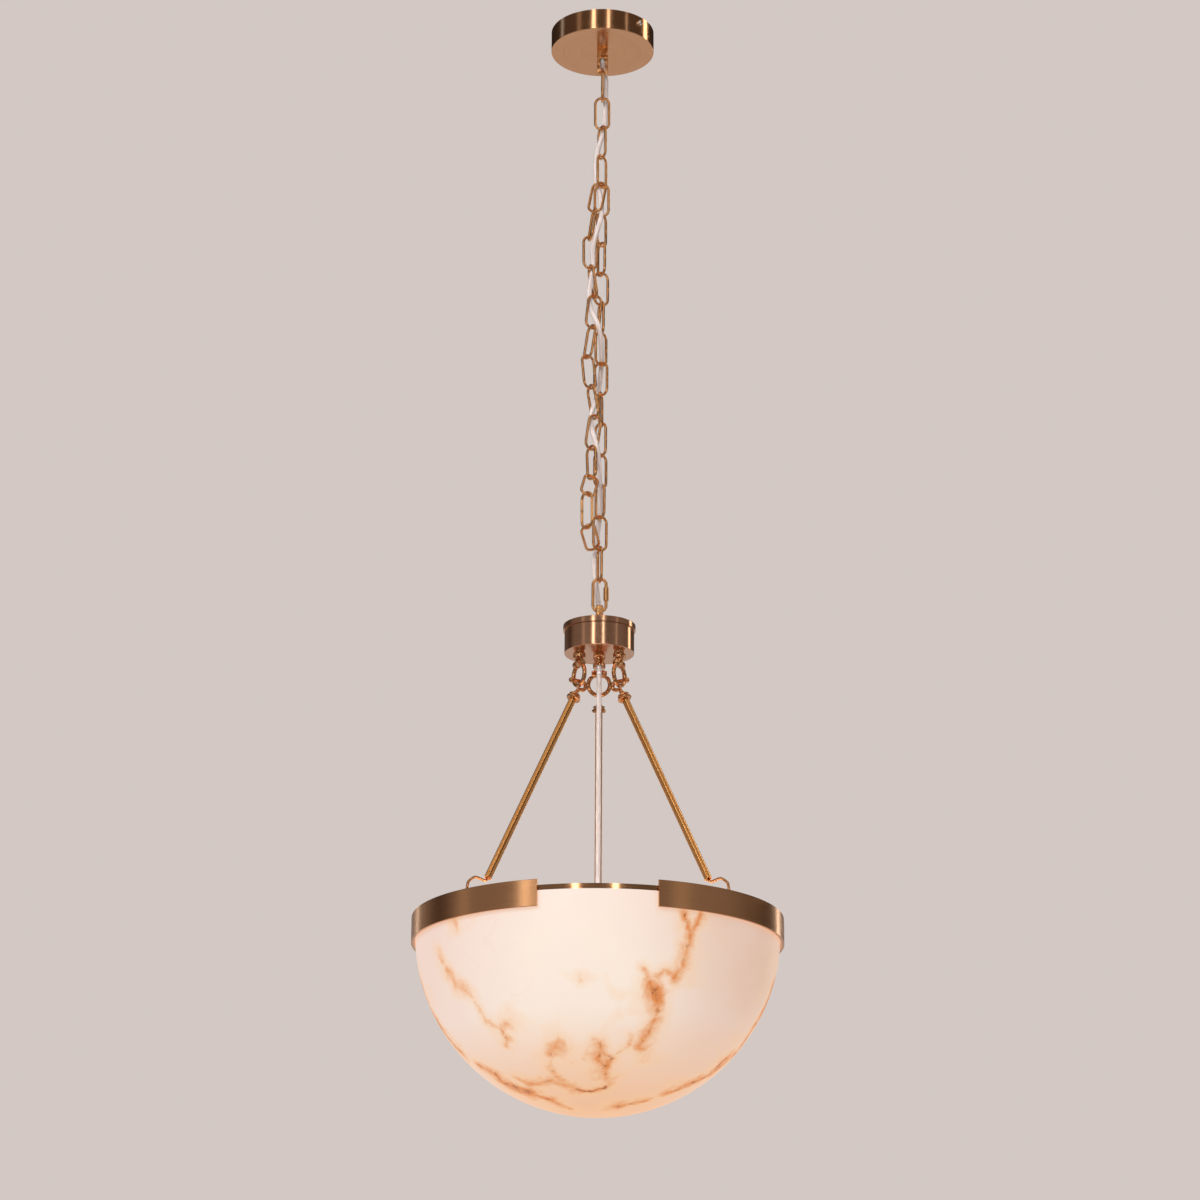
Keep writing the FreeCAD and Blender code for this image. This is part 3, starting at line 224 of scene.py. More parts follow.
def link(centre, u, w, seed):
    """One link: u across it, w along it."""
    u, w = np.array(u, float), np.array(w, float)
    flat = np.cross(u, w)
    line = []
    arc, side = 18, 14
    for i in range(arc):
        a = math.pi * i / arc
        line.append((LINK_R * math.cos(a), LINK_H + LINK_R * math.sin(a), math.cos(a), math.sin(a), 9.0))
    for i in range(side):
        z = LINK_H * (1 - 2 * i / side)
        line.append((-LINK_R, z, -1.0, 0.0, 9.0))
    for i in range(arc):
        a = math.pi + math.pi * i / arc
        line.append((LINK_R * math.cos(a), -LINK_H + LINK_R * math.sin(a), math.cos(a), math.sin(a), 9.0))
    steps = [-1.0, -0.8, -0.6, -0.4, -0.2, -0.13, -0.09, -0.06, -0.03, 0.0, 0.03, 0.06, 0.09, 0.13, 0.2, 0.4, 0.6, 0.8]
    for q in steps:
        line.append((LINK_R, LINK_H * q, 1.0, 0.0, LINK_H * q / MM))
    centres, nn, bb, rr = [], [], [], []
    for x, z, nx, nz, d in line:
        centres.append(centre + x * u + z * w)
        nn.append(nx * u + nz * w)
        bb.append(flat)
        bead = 0.26 * math.exp(-((d / 0.75) ** 2)) if abs(d) < 4 else 0.0
        rr.append(WIRE_R + bead * MM)
    return sweep(centres, nn, bb, WIRE_R, 14, True, rr)


def links(name, rows):
    verts, faces = [], []
    for k, (c, u, w) in enumerate(rows):
        v, f = link(np.array(c), u, w, k)
        faces += [tuple(i + len(verts) for i in q) for q in f]
        verts += v
    return add_mesh(name, verts, faces)


hung = []
for k, deg in enumerate(LINK_TURN):
    a = math.radians(deg)
    hung.append(((0, 0, (-45.8 - 37.1 * k - 21.8) * MM), (math.cos(a), math.sin(a), 0), (0, 0, 1)))
strand = []
for k, deg in enumerate(SLACK_TURN):
    a, b = np.array(SLACK_J[k]) * MM, np.array(SLACK_J[k + 1]) * MM
    w = (a - b) / np.linalg.norm(a - b)
    e1 = np.array([1.0, 0, 0]) - w * w[0]
    e1 /= np.linalg.norm(e1)
    e2 = np.cross(w, e1)
    f = math.radians(deg)
    strand.append(((a + b) / 2, e1 * math.cos(f) + e2 * math.sin(f), w))
chain_pieces = []
for name, rows, node, body in (("links_first", hung[:1], "chain_link_top", "link_top"), ("links_hung", hung[1:], "chain_main", "chain"),
                               ("links_spare", strand, "chain_slack", "chain")):
    ob = links(name, rows)
    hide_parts(node)
    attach(ob, body)
    chain_pieces.append(ob)


# ---------------------------------------------------------------------------
# Materials
# ---------------------------------------------------------------------------
def lin(r, g, b):
    out = []
    for v in (r, g, b):
        v /= 255.0
        out.append(v / 12.92 if v <= 0.04045 else ((v + 0.055) / 1.055) ** 2.4)
    return (out[0], out[1], out[2], 1.0)


class Graph:
    def __init__(self, name):
        self.m = bpy.data.materials.new(name)
        self.m.use_nodes = True
        t = self.m.node_tree
        t.nodes.clear()
        self.n, self.l = t.nodes, t.links
        self.out = self.n.new("ShaderNodeOutputMaterial")
        self.bs = self.n.new("ShaderNodeBsdfPrincipled")
        self.l.new(self.bs.outputs[0], self.out.inputs[0])
        self.p = self.n.new("ShaderNodeTexCoord").outputs["Object"]

    def put(self, sock, v):
        if isinstance(v, bpy.types.NodeSocket):
            self.l.new(v, sock)
        elif isinstance(v, (tuple, list)) and sock.type == "VECTOR":
            sock.default_value = tuple(v)[:3]
        else:
            sock.default_value = v

    def set(self, **kw):
        for k, v in kw.items():
            self.put(self.bs.inputs[k.replace("_", " ")], v)

    def math(self, op, a, b=None, c=None, clamp=False):
        nd = self.n.new("ShaderNodeMath")
        nd.operation = op
        nd.use_clamp = clamp
        for i, v in enumerate((a, b, c)):
            if v is not None:
                self.put(nd.inputs[i], v)
        return nd.outputs[0]

    def vec(self, op, a, b=None, c=None, scale=None):
        nd = self.n.new("ShaderNodeVectorMath")
        nd.operation = op
        for i, v in enumerate((a, b, c)):
            if v is not None:
                self.put(nd.inputs[i], v)
        if scale is not None:
            self.put(nd.inputs["Scale"], scale)
        return nd.outputs["Value"] if op in ("DOT_PRODUCT", "LENGTH", "DISTANCE") else nd.outputs["Vector"]

    def xyz(self, v):
        nd = self.n.new("ShaderNodeSeparateXYZ")
        self.put(nd.inputs[0], v)
        return nd.outputs[0], nd.outputs[1], nd.outputs[2]

    def join(self, x, y, z):
        nd = self.n.new("ShaderNodeCombineXYZ")
        for i, v in enumerate((x, y, z)):
            self.put(nd.inputs[i], v)
        return nd.outputs[0]

    def noise(self, v, scale, detail=2.0, rough=0.5, distortion=0.0, colour=False):
        nd = self.n.new("ShaderNodeTexNoise")
        self.put(nd.inputs["Vector"], v)
        nd.inputs["Scale"].default_value = scale
        nd.inputs["Detail"].default_value = detail
        nd.inputs["Roughness"].default_value = rough
        nd.inputs["Distortion"].default_value = distortion
        return nd.outputs["Color"] if colour else nd.outputs["Fac"]

    def ramp(self, fac, stops, interp="LINEAR"):
        nd = self.n.new("ShaderNodeValToRGB")
        nd.color_ramp.interpolation = interp
        el = nd.color_ramp.elements
        while len(el) > 1:
            el.remove(el[-1])
        el[0].position, el[0].color = stops[0][0], self._c(stops[0][1])
        for pos, col in stops[1:]:
            e = el.new(pos)
            e.color = self._c(col)
        self.put(nd.inputs[0], fac)
        return nd.outputs[0]

    @staticmethod
    def _c(v):
        return (v, v, v, 1.0) if isinstance(v, (int, float)) else tuple(v)

    def mix(self, fac, a, b, mode="MIX"):
        nd = self.n.new("ShaderNodeMix")
        nd.data_type = "RGBA"
        nd.blend_type = mode
        nd.clamp_factor = True
        self.put(nd.inputs[0], fac)
        self.put(nd.inputs[6], a)
        self.put(nd.inputs[7], b)
        return nd.outputs[2]

    def remap(self, v, a, b, c, d):
        nd = self.n.new("ShaderNodeMapRange")
        nd.clamp = True
        self.put(nd.inputs[0], v)
        for i, q in enumerate((a, b, c, d)):
            nd.inputs[i + 1].default_value = q
        return nd.outputs[0]

    def bump(self, height, strength, distance):
        nd = self.n.new("ShaderNodeBump")
        nd.inputs["Strength"].default_value = strength
        nd.inputs["Distance"].default_value = distance
        self.put(nd.inputs["Height"], height)
        self.put(self.bs.inputs["Normal"], nd.outputs[0])


def shade(c, k):
    return (c[0] * k, c[1] * k, c[2] * k, 1.0)


def metal(name, base, rough, kind, axis=None, lines=1500.0, depth=0.12, spread=0.06, tone=0.10, waves=0.0):
    """Copper-toned brass with marks that follow how the piece was worked."""
    g = Graph(name)
    x, y, z = g.xyz(g.p)
    if kind == "turned":
        r = g.math("SQRT", g.math("ADD", g.math("MULTIPLY", x, x), g.math("MULTIPLY", y, y)))
        v = g.join(r, z, g.math("MULTIPLY", x, 0.02))
    elif kind == "round":
        v = g.join(g.math("MULTIPLY", x, 0.012), g.math("MULTIPLY", y, 0.012), z)
    elif kind == "drawn":
        s = g.vec("DOT_PRODUCT", g.p, axis)
        v = g.vec("SUBTRACT", g.p, g.vec("SCALE", axis, scale=g.math("MULTIPLY", s, 0.996)))
    else:
        v = g.p
    fine = g.noise(v, lines, 0.4 if kind == "drawn" else 3.0, 0.6)
    wear = g.noise(g.p, 38.0, 4.0, 0.6)
    spots = g.noise(g.p, 90.0 if kind == "drawn" else 420.0, 2.0, 0.5)
    lo, hi = shade(base, 1.0 - tone), shade(base, 1.0 + tone * 0.6)
    col = g.mix(g.remap(fine, 0.3, 0.7, 0.0, 1.0), lo, hi)
    col = g.mix(g.math("MULTIPLY", g.remap(wear, 0.35, 0.75, 0.0, 1.0), 0.35), col, (base[0] * 0.93, base[1] * 0.84, base[2] * 0.74, 1.0))
    g.set(Base_Color=col, Metallic=1.0)
    rr = g.math("ADD", g.math("MULTIPLY", g.math("SUBTRACT", fine, 0.5), spread * 1.6), rough)
    rr = g.math("ADD", rr, g.math("MULTIPLY", g.math("SUBTRACT", wear, 0.5), spread))
    rr = g.math("ADD", rr, g.math("MULTIPLY", g.remap(spots, 0.62, 0.8, 0.0, 1.0), spread * 0.8), clamp=True)
    g.set(Roughness=rr)
    if waves:
        slow = g.noise(g.p, 260.0, 1.5, 0.4)
        height = g.math("ADD", g.math("MULTIPLY", slow, waves), g.math("MULTIPLY", fine, 0.06 * depth))
        g.bump(height, 1.0, 0.001)
    else:
        g.bump(fine, depth, 0.00006)
    return g.m


def plain(name, lo, hi, rough, scale, metallic=0.0, depth=0.08, transmission=0.0, emit=None, power=0.0, coat=0.0):
    g = Graph(name)
    a = g.noise(g.p, scale, 4.0, 0.6)
    b = g.noise(g.p, scale * 7.0, 2.0, 0.5)
    g.set(Base_Color=g.mix(g.remap(a, 0.3, 0.7, 0.0, 1.0), lo, hi), Metallic=metallic)
    g.set(Roughness=g.math("ADD", g.math("MULTIPLY", g.math("SUBTRACT", b, 0.5), 0.12), rough, clamp=True))
    if transmission:
        g.bs.inputs["Transmission Weight"].default_value = transmission
    if coat:
        g.bs.inputs["Coat Weight"].default_value = coat
    if power:
        g.put(g.bs.inputs["Emission Color"], g.mix(a, emit, shade(emit, 0.93)))
        g.bs.inputs["Emission Strength"].default_value = power
    g.bump(b, depth, 0.00008)
    return g.m


COPPER = (0.85, 0.48, 0.27, 1.0)
M = {
    "canopy": metal("canopy_brass", COPPER, 0.165, "turned", lines=1300.0),
    "hub": metal("hub_brass", (0.82, 0.49, 0.32, 1.0), 0.17, "turned", lines=1300.0),
    "loop": metal("loop_brass", (0.95, 0.53, 0.24, 1.0), 0.10, "plain", lines=700.0, waves=3.0),
    "polished": metal("polished_brass", (0.80, 0.42, 0.20, 1.0), 0.09, "plain", lines=500.0, depth=0.06, spread=0.04, waves=1.8),
    "band": metal("band_brass", (0.79, 0.445, 0.235, 1.0), 0.21, "round", lines=1600.0),
    "ring": metal("ring_brass", (0.56, 0.32, 0.17, 1.0), 0.11, "round", lines=1400.0),
    "chain": metal("chain_wire", (0.95, 0.53, 0.245, 1.0), 0.085, "plain", lines=600.0, depth=0.05, spread=0.05),
    "cap": plain("cap_bright", (0.86, 0.82, 0.76, 1), (0.95, 0.93, 0.90, 1), 0.12, 200.0, metallic=1.0),
    "zinc": plain("zinc_plate", (0.50, 0.50, 0.51, 1), (0.64, 0.64, 0.66, 1), 0.32, 160.0, metallic=1.0),
    "terminal": plain("terminal_plastic", (0.80, 0.79, 0.74, 1), (0.87, 0.86, 0.82, 1), 0.45, 90.0),
    "gland": plain("gland_plastic", (0.74, 0.73, 0.70, 1), (0.82, 0.81, 0.78, 1), 0.42, 110.0),
    "lead": plain("lead_sleeve", (0.76, 0.74, 0.70, 1), (0.85, 0.83, 0.79, 1), 0.5, 140.0),
    "paint": plain("white_paint", (0.80, 0.79, 0.76, 1), (0.87, 0.86, 0.83, 1), 0.38, 260.0, depth=0.2),
    "ceramic": plain("holder_glaze", (0.84, 0.83, 0.80, 1), (0.90, 0.89, 0.86, 1), 0.22, 70.0, coat=0.4),
    "bulb": plain("bulb_opal", (0.92, 0.90, 0.86, 1), (0.97, 0.95, 0.92, 1), 0.4, 60.0, emit=(1.0, 0.80, 0.55, 1.0), power=3.0),
}
RODS = {}
for side, deg in (("left", 210.0), ("right", 330.0), ("back", 90.0)):
    a = math.radians(deg)
    d = Vector(((135.0 - 32.4) * math.cos(a), (135.0 - 32.4) * math.sin(a), -1036.0 + 821.5)).normalized()
    RODS[side] = metal("rod_brass_" + side, (1.0, 0.52, 0.19, 1.0), 0.17, "drawn", axis=tuple(d), lines=440.0, depth=0.02, spread=0.02, tone=0.42)


def flex_skin():
    g = Graph("flex_sheath")
    a = g.noise(g.p, 300.0, 3.0, 0.5)
    g.set(Base_Color=g.mix(a, (0.95, 0.90, 0.89, 1.0), (0.99, 0.96, 0.95, 1.0)))
    g.set(Roughness=g.remap(a, 0.3, 0.7, 0.08, 0.16))
    g.bs.inputs["Transmission Weight"].default_value = 0.60
    g.bs.inputs["IOR"].default_value = 1.45
    g.bump(a, 0.05, 0.00005)
    return g.m


def flex_core():
    g = Graph("flex_cores")
    a = g.noise(g.p, 900.0, 3.0, 0.6)
    g.set(Base_Color=g.mix(a, lin(228, 210, 212), lin(252, 244, 242)))
    g.set(Roughness=g.remap(a, 0.3, 0.7, 0.25, 0.4))
    g.bs.inputs["Metallic"].default_value = 0.0
    g.bump(a, 0.2, 0.00005)
    return g.m


M["skin"], M["core"] = flex_skin(), flex_core()

# --- alabaster ---------------------------------------------------------------
BOWL_C = (0.0, 0.0, -1.080)
BOWL_R = 0.196


def on_bowl(az, el):
    a, e = math.radians(az), math.radians(el)
    return Vector((BOWL_R * math.cos(e) * math.cos(a), BOWL_R * math.cos(e) * math.sin(a), BOWL_C[2] + BOWL_R * math.sin(e)))


# each vein: half width in mm, how faint it is (0 = darkest core), points (azimuth, elevation)
VEINS = [
    (3.8, 0.66, [(-149.5, -14.5), (-146.7, -19.3), (-144.6, -23.1), (-141.6, -24.9), (-138.5, -27.9), (-136.9, -32.0), (-136.4, -36.5)]),
    (4.5, 0.50, [(-136.4, -36.5), (-131.1, -40.3), (-128.0, -38.0)]),
    (3.6, 0.30, [(-131.1, -40.3), (-131.6, -44.0), (-134.0, -46.3)]),
    (6.0, 0.05, [(-177.0, -16.5), (-177.5, -19.5), (-177.0, -23.3)]),
    (7.5, 0.06, [(-178.5, -26.3), (-177.0, -34.0), (-174.0, -42.5)]),
    (5.0, 0.55, [(-139.4, -5.7), (-138.6, -8.0)]),
    (3.4, 0.48, [(-95.5, -25.2), (-95.7, -26.6)]),
    (8.0, 0.26, [(-106.9, -46.5), (-112.9, -51.0)]),
    (3.0, 0.52, [(-112.9, -51.1), (-115.6, -57.3), (-115.7, -63.0), (-109.2, -66.0)]),
    (5.4, 0.12, [(-62.9, -5.5), (-60.8, -10.1), (-61.1, -14.0), (-61.9, -21.6), (-64.0, -24.0)]),
    (4.4, 0.26, [(-64.0, -24.0), (-67.8, -22.7), (-70.2, -25.0)]),
    (4.6, 0.16, [(-57.6, -5.2), (-58.6, -8.0), (-60.8, -12.1)]),
    (4.4, 0.34, [(-75.0, -23.0), (-72.5, -27.4), (-68.7, -30.5)]),
    (7.0, 0.06, [(-72.5, -27.0), (-68.7, -31.5), (-67.2, -35.5)]),
    (6.6, 0.14, [(-67.2, -34.5), (-67.1, -38.5), (-68.4, -42.0), (-71.2, -47.8)]),
    (4.0, 0.36, [(-75.5, -44.1), (-76.3, -47.8), (-82.9, -51.8)]),
    (4.4, 0.10, [(-88.9, -48.0), (-87.2, -50.9), (-82.6, -52.8)]),
    (4.4, 0.06, [(-82.6, -52.8), (-86.4, -56.4), (-90.2, -53.5), (-88.6, -50.5)]),
    (4.6, 0.12, [(-86.4, -56.4), (-85.7, -61.8)]),
    (4.4, -0.06, [(-104.4, -68.0), (-96.0, -69.2), (-89.4, -68.1), (-84.3, -66.0)]),
    (4.6, 0.26, [(-146.1, -58.2), (-139.6, -62.0), (-120.7, -62.7), (-107.0, -66.0)]),
    (6.8, 0.10, [(-165.7, -48.7), (-159.8, -54.7), (-163.0, -59.0)]),
    (7.4, -0.06, [(-163.0, -59.0), (-150.0, -66.0)]),
    (5.4, 0.16, [(-150.0, -66.0), (-142.0, -71.6), (-140.5, -79.2)]),
    (7.6, 0.06, [(-4.0, -18.0), (-2.5, -24.0), (-5.0, -31.0), (-3.0, -38.6)]),
    (7.2, 0.04, [(-8.8, -43.3), (-10.3, -49.9)]),
    (7.2, 0.04, [(-2.0, -41.6), (-8.3, -52.9), (-18.0, -60.0)]),
    (7.5, 0.10, [(-20.1, -62.0), (-26.1, -65.4)]),
    (7.0, 0.12, [(-55.4, -78.4), (-34.9, -72.0)]),
    # round the back
    (4.6, 0.20, [(52.0, -7.0), (57.0, -16.0), (55.0, -27.0), (63.0, -36.0)]),
    (3.6, 0.34, [(63.0, -36.0), (74.0, -41.0), (80.0, -52.0)]),
    (4.0, 0.30, [(101.0, -10.0), (108.0, -22.0), (105.0, -31.0)]),
    (5.2, 0.24, [(128.0, -28.0), (137.0, -37.0), (134.0, -48.0), (120.0, -58.0)]),
    (3.4, 0.42, [(88.0, -64.0), (60.0, -68.0), (35.0, -66.0)]),
]


def alabaster():
    g = Graph("alabaster")
    p = g.p
    # slow, middle and fine wander of the veins
    w1 = g.vec("SUBTRACT", g.noise(p, 16.0, 2.0, 0.5, colour=True), (0.5, 0.5, 0.5))
    w2 = g.vec("SUBTRACT", g.noise(p, 60.0, 3.0, 0.55, colour=True), (0.5, 0.5, 0.5))
    w3 = g.vec("SUBTRACT", g.noise(p, 230.0, 3.0, 0.6, colour=True), (0.5, 0.5, 0.5))
    q = g.vec("ADD", p, g.vec("SCALE", w1, scale=0.006))
    q = g.vec("ADD", q, g.vec("SCALE", w2, scale=0.010))
    q = g.vec("ADD", q, g.vec("SCALE", w3, scale=0.0024))
    best = None
    for half, faint, pts in VEINS:
        track = [on_bowl(*k) for k in pts]
        mine = None
        for a, b in zip(track, track[1:]):
            d = b - a
            rel = g.vec("SUBTRACT", q, tuple(a))
            t = g.math("MULTIPLY", g.vec("DOT_PRODUCT", rel, tuple(d)), 1.0 / d.length_squared)
            t = g.math("MINIMUM", g.math("MAXIMUM", t, 0.0), 1.0)
            off = g.vec("ADD", rel, g.vec("SCALE", tuple(-d), scale=t))
            dist = g.vec("LENGTH", off)
            mine = dist if mine is None else g.math("MINIMUM", mine, dist)
        u = g.math("MULTIPLY_ADD", mine, 1000.0 / (half * 1.85), faint - 0.10)
        best = u if best is None else g.math("MINIMUM", best, u)
    x, y, z = g.xyz(p)
    # breaks, widenings and beads along the veins
    wide = g.noise(p, 26.0, 2.0, 0.5)
    patch = g.noise(p, 48.0, 5.0, 0.64, 1.1)
    beads = g.noise(p, 110.0, 4.0, 0.65, 0.8)
    swell = g.remap(wide, 0.36, 0.66, 1.75, 0.62)
    u = g.math("MULTIPLY", best, swell)
    u_mid = g.math("ADD", u, g.math("MULTIPLY", g.math("SUBTRACT", 0.52, patch), 2.7))
    u_core = g.math("ADD", u, g.math("MULTIPLY", g.math("SUBTRACT", 0.51, beads), 2.4))
    # faint threads of the stone's own, stronger away from the front
    ridge = g.math("ABSOLUTE", g.math("SUBTRACT", g.noise(q, 13.0, 3.0, 0.5, 0.6), 0.5))
    mask = g.remap(g.noise(p, 9.0, 2.0, 0.5), 0.52, 0.66, 0.0, 1.0)
    back = g.remap(y, -0.02, 0.08, 0.16, 0.75)
    thread = g.math("MULTIPLY", g.remap(ridge, 0.0, 0.022, 1.0, 0.0), g.math("MULTIPLY", mask, back))
    # light: three lamps inside
    glow = None
    for az, zz, size, amount in ((262.0, -1.168, 0.118, 1.0), (22.0, -1.150, 0.10, 0.62), (142.0, -1.150, 0.10, 0.62)):
        a = math.radians(az)
        s = Vector((0.150 * math.cos(a), 0.150 * math.sin(a), zz))
        dd = g.vec("DISTANCE", p, tuple(s))
        e = g.math("MULTIPLY", g.math("EXPONENT", g.math("MULTIPLY", g.math("MULTIPLY", dd, dd), -1.0 / size ** 2)), amount)
        glow = e if glow is None else g.math("ADD", glow, e)
    cloud = g.noise(p, 11.0, 4.0, 0.55)
    # painted shade across the bowl: a little darker at the left and darkest, warmest on the right side
    edge = g.remap(x, -0.196, 0.196, 0.0, 1.0)
    painted_side_shade = g.ramp(edge, [(0.0, lin(238, 208, 194)), (0.16, lin(243, 219, 206)), (0.42, lin(250, 231, 221)), (0.60, lin(248, 224, 210)),
                             (0.78, lin(236, 203, 184)), (1.0, lin(224, 182, 156))])
    body = g.mix(g.math("MULTIPLY", glow, 0.95, clamp=True), painted_side_shade, lin(253, 238, 222))
    body = g.mix(g.remap(cloud, 0.38, 0.68, 0.0, 0.30), body, lin(246, 222, 214))
    # painted warm shade towards the bottom of the bowl
    low = g.remap(z, -1.274, -1.188, 1.0, 0.0)
    body = g.mix(g.math("MULTIPLY", g.math("POWER", low, 1.2), 0.95), body, lin(243, 190, 148))
    # painted warm glow in a thin line just under the bands, outside the gap between them
    top = g.math("MULTIPLY", g.remap(z, -1.099, -1.094, 0.0, 1.0), g.remap(g.math("ABSOLUTE", x), 0.057, 0.064, 0.0, 1.0))
    body = g.mix(g.math("MULTIPLY", top, 0.55), body, lin(250, 196, 160))
    col = g.mix(g.math("MULTIPLY", thread, 0.5), body, lin(232, 168, 124))
    halo = g.remap(g.math("ADD", u, g.math("MULTIPLY", g.math("SUBTRACT", 0.5, patch), 1.6)), 0.2, 2.8, 1.0, 0.0)
    mid = g.remap(u_mid, 0.0, 1.35, 1.0, 0.0)
    core = g.remap(u_core, -0.40, 0.24, 1.0, 0.0)
    col = g.mix(g.math("MULTIPLY", g.math("POWER", halo, 1.4), 0.74), col, lin(251, 203, 152))
    col = g.mix(g.math("MULTIPLY", g.math("POWER", mid, 1.3), 0.88), col, lin(227, 134, 66))
    col = g.mix(g.math("MULTIPLY", g.math("POWER", core, 1.1), 0.90), col, lin(146, 80, 48))
    # painted light: the inner face, which faces the lamps, is far brighter and warmer than the outer one
    shell = g.vec("DISTANCE", p, BOWL_C)
    inner = g.remap(shell, 0.1915, 0.1945, 1.0, 0.0)
    warm = g.mix(0.55, col, (1.0, 0.62, 0.32, 1.0))
    lit = g.vec("ADD", g.vec("SCALE", col, scale=0.825), g.vec("SCALE", warm, scale=g.math("MULTIPLY", inner, 0.22)))
    g.put(g.bs.inputs["Emission Color"], lit)
    g.bs.inputs["Emission Strength"].default_value = 1.0
    g.set(Base_Color=g.vec("SCALE", col, scale=0.16))
    g.set(Roughness=g.remap(cloud, 0.3, 0.7, 0.36, 0.46))
    g.bs.inputs["Specular IOR Level"].default_value = 0.35
    g.bump(g.noise(p, 90.0, 4.0, 0.6), 0.06, 0.0002)
    return g.m


M["alabaster"] = alabaster()

# ---------------------------------------------------------------------------
# Finishes on the carried-over parts
# ---------------------------------------------------------------------------
def finish_of(name):
    if name == "canopy":
        return M["canopy"]
    if name == "canopy_screws":
        return M["cap"]
    if name in ("hub_lid", "hub_body"):
        return M["hub"]
    if name in ("canopy_loop", "hub_loop"):
        return M["loop"]
    if name.startswith("rim_band"):
        return M["band"]
    if name == "rim_ring":
        return M["ring"]
    if name.startswith("rod_"):
        return RODS[name[4:]]
    if name.startswith(("shackle_", "top_hook", "bottom_hook", "hook_nut", "cable_nipple", "loop_set_screw", "rim_screws")):
        return M["polished"]
    if name.startswith(("chain_", "quick_link")):
        return M["chain"]
    if name == "bowl":
        return M["alabaster"]
    if name.startswith("bulb_"):
        return M["bulb"]
    if name.startswith("lampholder"):
        return M["ceramic"]
    if name == "lamp_frame":
        return M["paint"]
    if name in ("terminal_block", "connector_block"):
        return M["terminal"]
    if name == "cable_gland":
        return M["gland"]
    if name == "lamp_leads":
        return M["lead"]
    if name.startswith("cable_"):
        return M["core"]
    return M["zinc"]


def assign(ob, mat):
    if len(ob.material_slots) == 0:
        ob.data.materials.append(mat)
    else:
        for s in ob.material_slots:
            s.material = mat


for name, ob in NODES.items():
    assign(ob, finish_of(name))
for ob in chain_pieces:
    assign(ob, M["chain"])
for ob in flex_pieces:
    assign(ob, M["core"] if ob.name.endswith("cores") else M["skin"])

# ---------------------------------------------------------------------------
# Studio: plain pale floor, soft strips of light for the metal, warm lamps
# ---------------------------------------------------------------------------
fv, ff = [(0.0, 0.0, -5.2)], []
for k in range(96):
    a = 2 * math.pi * k / 96
    fv.append((14.0 * math.cos(a), 14.0 * math.sin(a), -5.2))
for k in range(96):
    ff.append((0, 1 + k, 1 + (k + 1) % 96))
floor = add_mesh("floor", fv, ff, smooth=False)
floor.visible_glossy = False
fg = Graph("floor_paper")
fn = fg.noise(fg.p, 3.0, 4.0, 0.5)
fg.set(Base_Color=fg.mix(fn, lin(138, 132, 129), lin(142, 136, 133)), Roughness=0.9)
fg.put(fg.bs.inputs["Emission Color"], fg.mix(fn, lin(188, 179, 175), lin(192, 183, 179)))
fg.bs.inputs["Emission Strength"].default_value = 1.0
assign(floor, fg.m)

world = bpy.data.worlds.new("studio")
world.use_nodes = True
scene.world = world
wn, wl = world.node_tree.nodes, world.node_tree.links
wn.clear()
w_out = wn.new("ShaderNodeOutputWorld")
w_mix = wn.new("ShaderNodeMixShader")
w_back = wn.new("ShaderNodeBackground")
w_env = wn.new("ShaderNodeBackground")
w_back.inputs[0].default_value = lin(211, 200, 195)
lp = wn.new("ShaderNodeLightPath")
seen = wn.new("ShaderNodeMath")
seen.operation = "MAXIMUM"
wl.new(lp.outputs["Is Camera Ray"], seen.inputs[0])
wl.new(lp.outputs["Is Transmission Ray"], seen.inputs[1])
tc = wn.new("ShaderNodeTexCoord")
sp = wn.new("ShaderNodeSeparateXYZ")
wl.new(tc.outputs["Generated"], sp.inputs[0])
half = wn.new("ShaderNodeMath")
half.operation = "MULTIPLY_ADD"
half.inputs[1].default_value = 0.5
half.inputs[2].default_value = 0.5
wl.new(sp.outputs[2], half.inputs[0])
wr = wn.new("ShaderNodeValToRGB")
el = wr.color_ramp.elements
el[0].position, el[0].color = 0.0, (0.50, 0.45, 0.42, 1)
el[1].position, el[1].color = 1.0, (0.50, 0.46, 0.43, 1)
for zz, c in ((-0.05, (0.50, 0.45, 0.42)), (0.12, (0.26, 0.22, 0.20)), (0.24, (0.25, 0.21, 0.19)), (0.31, (0.17, 0.135, 0.12)), (0.45, (0.065, 0.048, 0.035)), (0.55, (0.055, 0.042, 0.032)), (0.67, (0.50, 0.37, 0.25)), (0.80, (0.42, 0.37, 0.33))):
    e = el.new(zz * 0.5 + 0.5)
    e.color = (c[0], c[1], c[2], 1.0)
wl.new(half.outputs[0], wr.inputs[0])
low_side = wn.new("ShaderNodeMapRange")
for i, v in ((1, -0.06), (2, 0.06), (3, 1.0), (4, 0.0)):
    low_side.inputs[i].default_value = v
wl.new(sp.outputs[2], low_side.inputs[0])
near_side = wn.new("ShaderNodeMapRange")
for i, v in ((1, -0.3), (2, 0.45), (3, 0.65), (4, 0.0)):
    near_side.inputs[i].default_value = v
wl.new(sp.outputs[1], near_side.inputs[0])
both = wn.new("ShaderNodeMath")
both.operation = "MULTIPLY"
wl.new(low_side.outputs[0], both.inputs[0])
wl.new(near_side.outputs[0], both.inputs[1])
w_dim = wn.new("ShaderNodeMix")
w_dim.data_type = "RGBA"
wl.new(both.outputs[0], w_dim.inputs[0])
wl.new(wr.outputs[0], w_dim.inputs[6])
w_dim.inputs[7].default_value = (0.02, 0.017, 0.015, 1.0)
patch = None
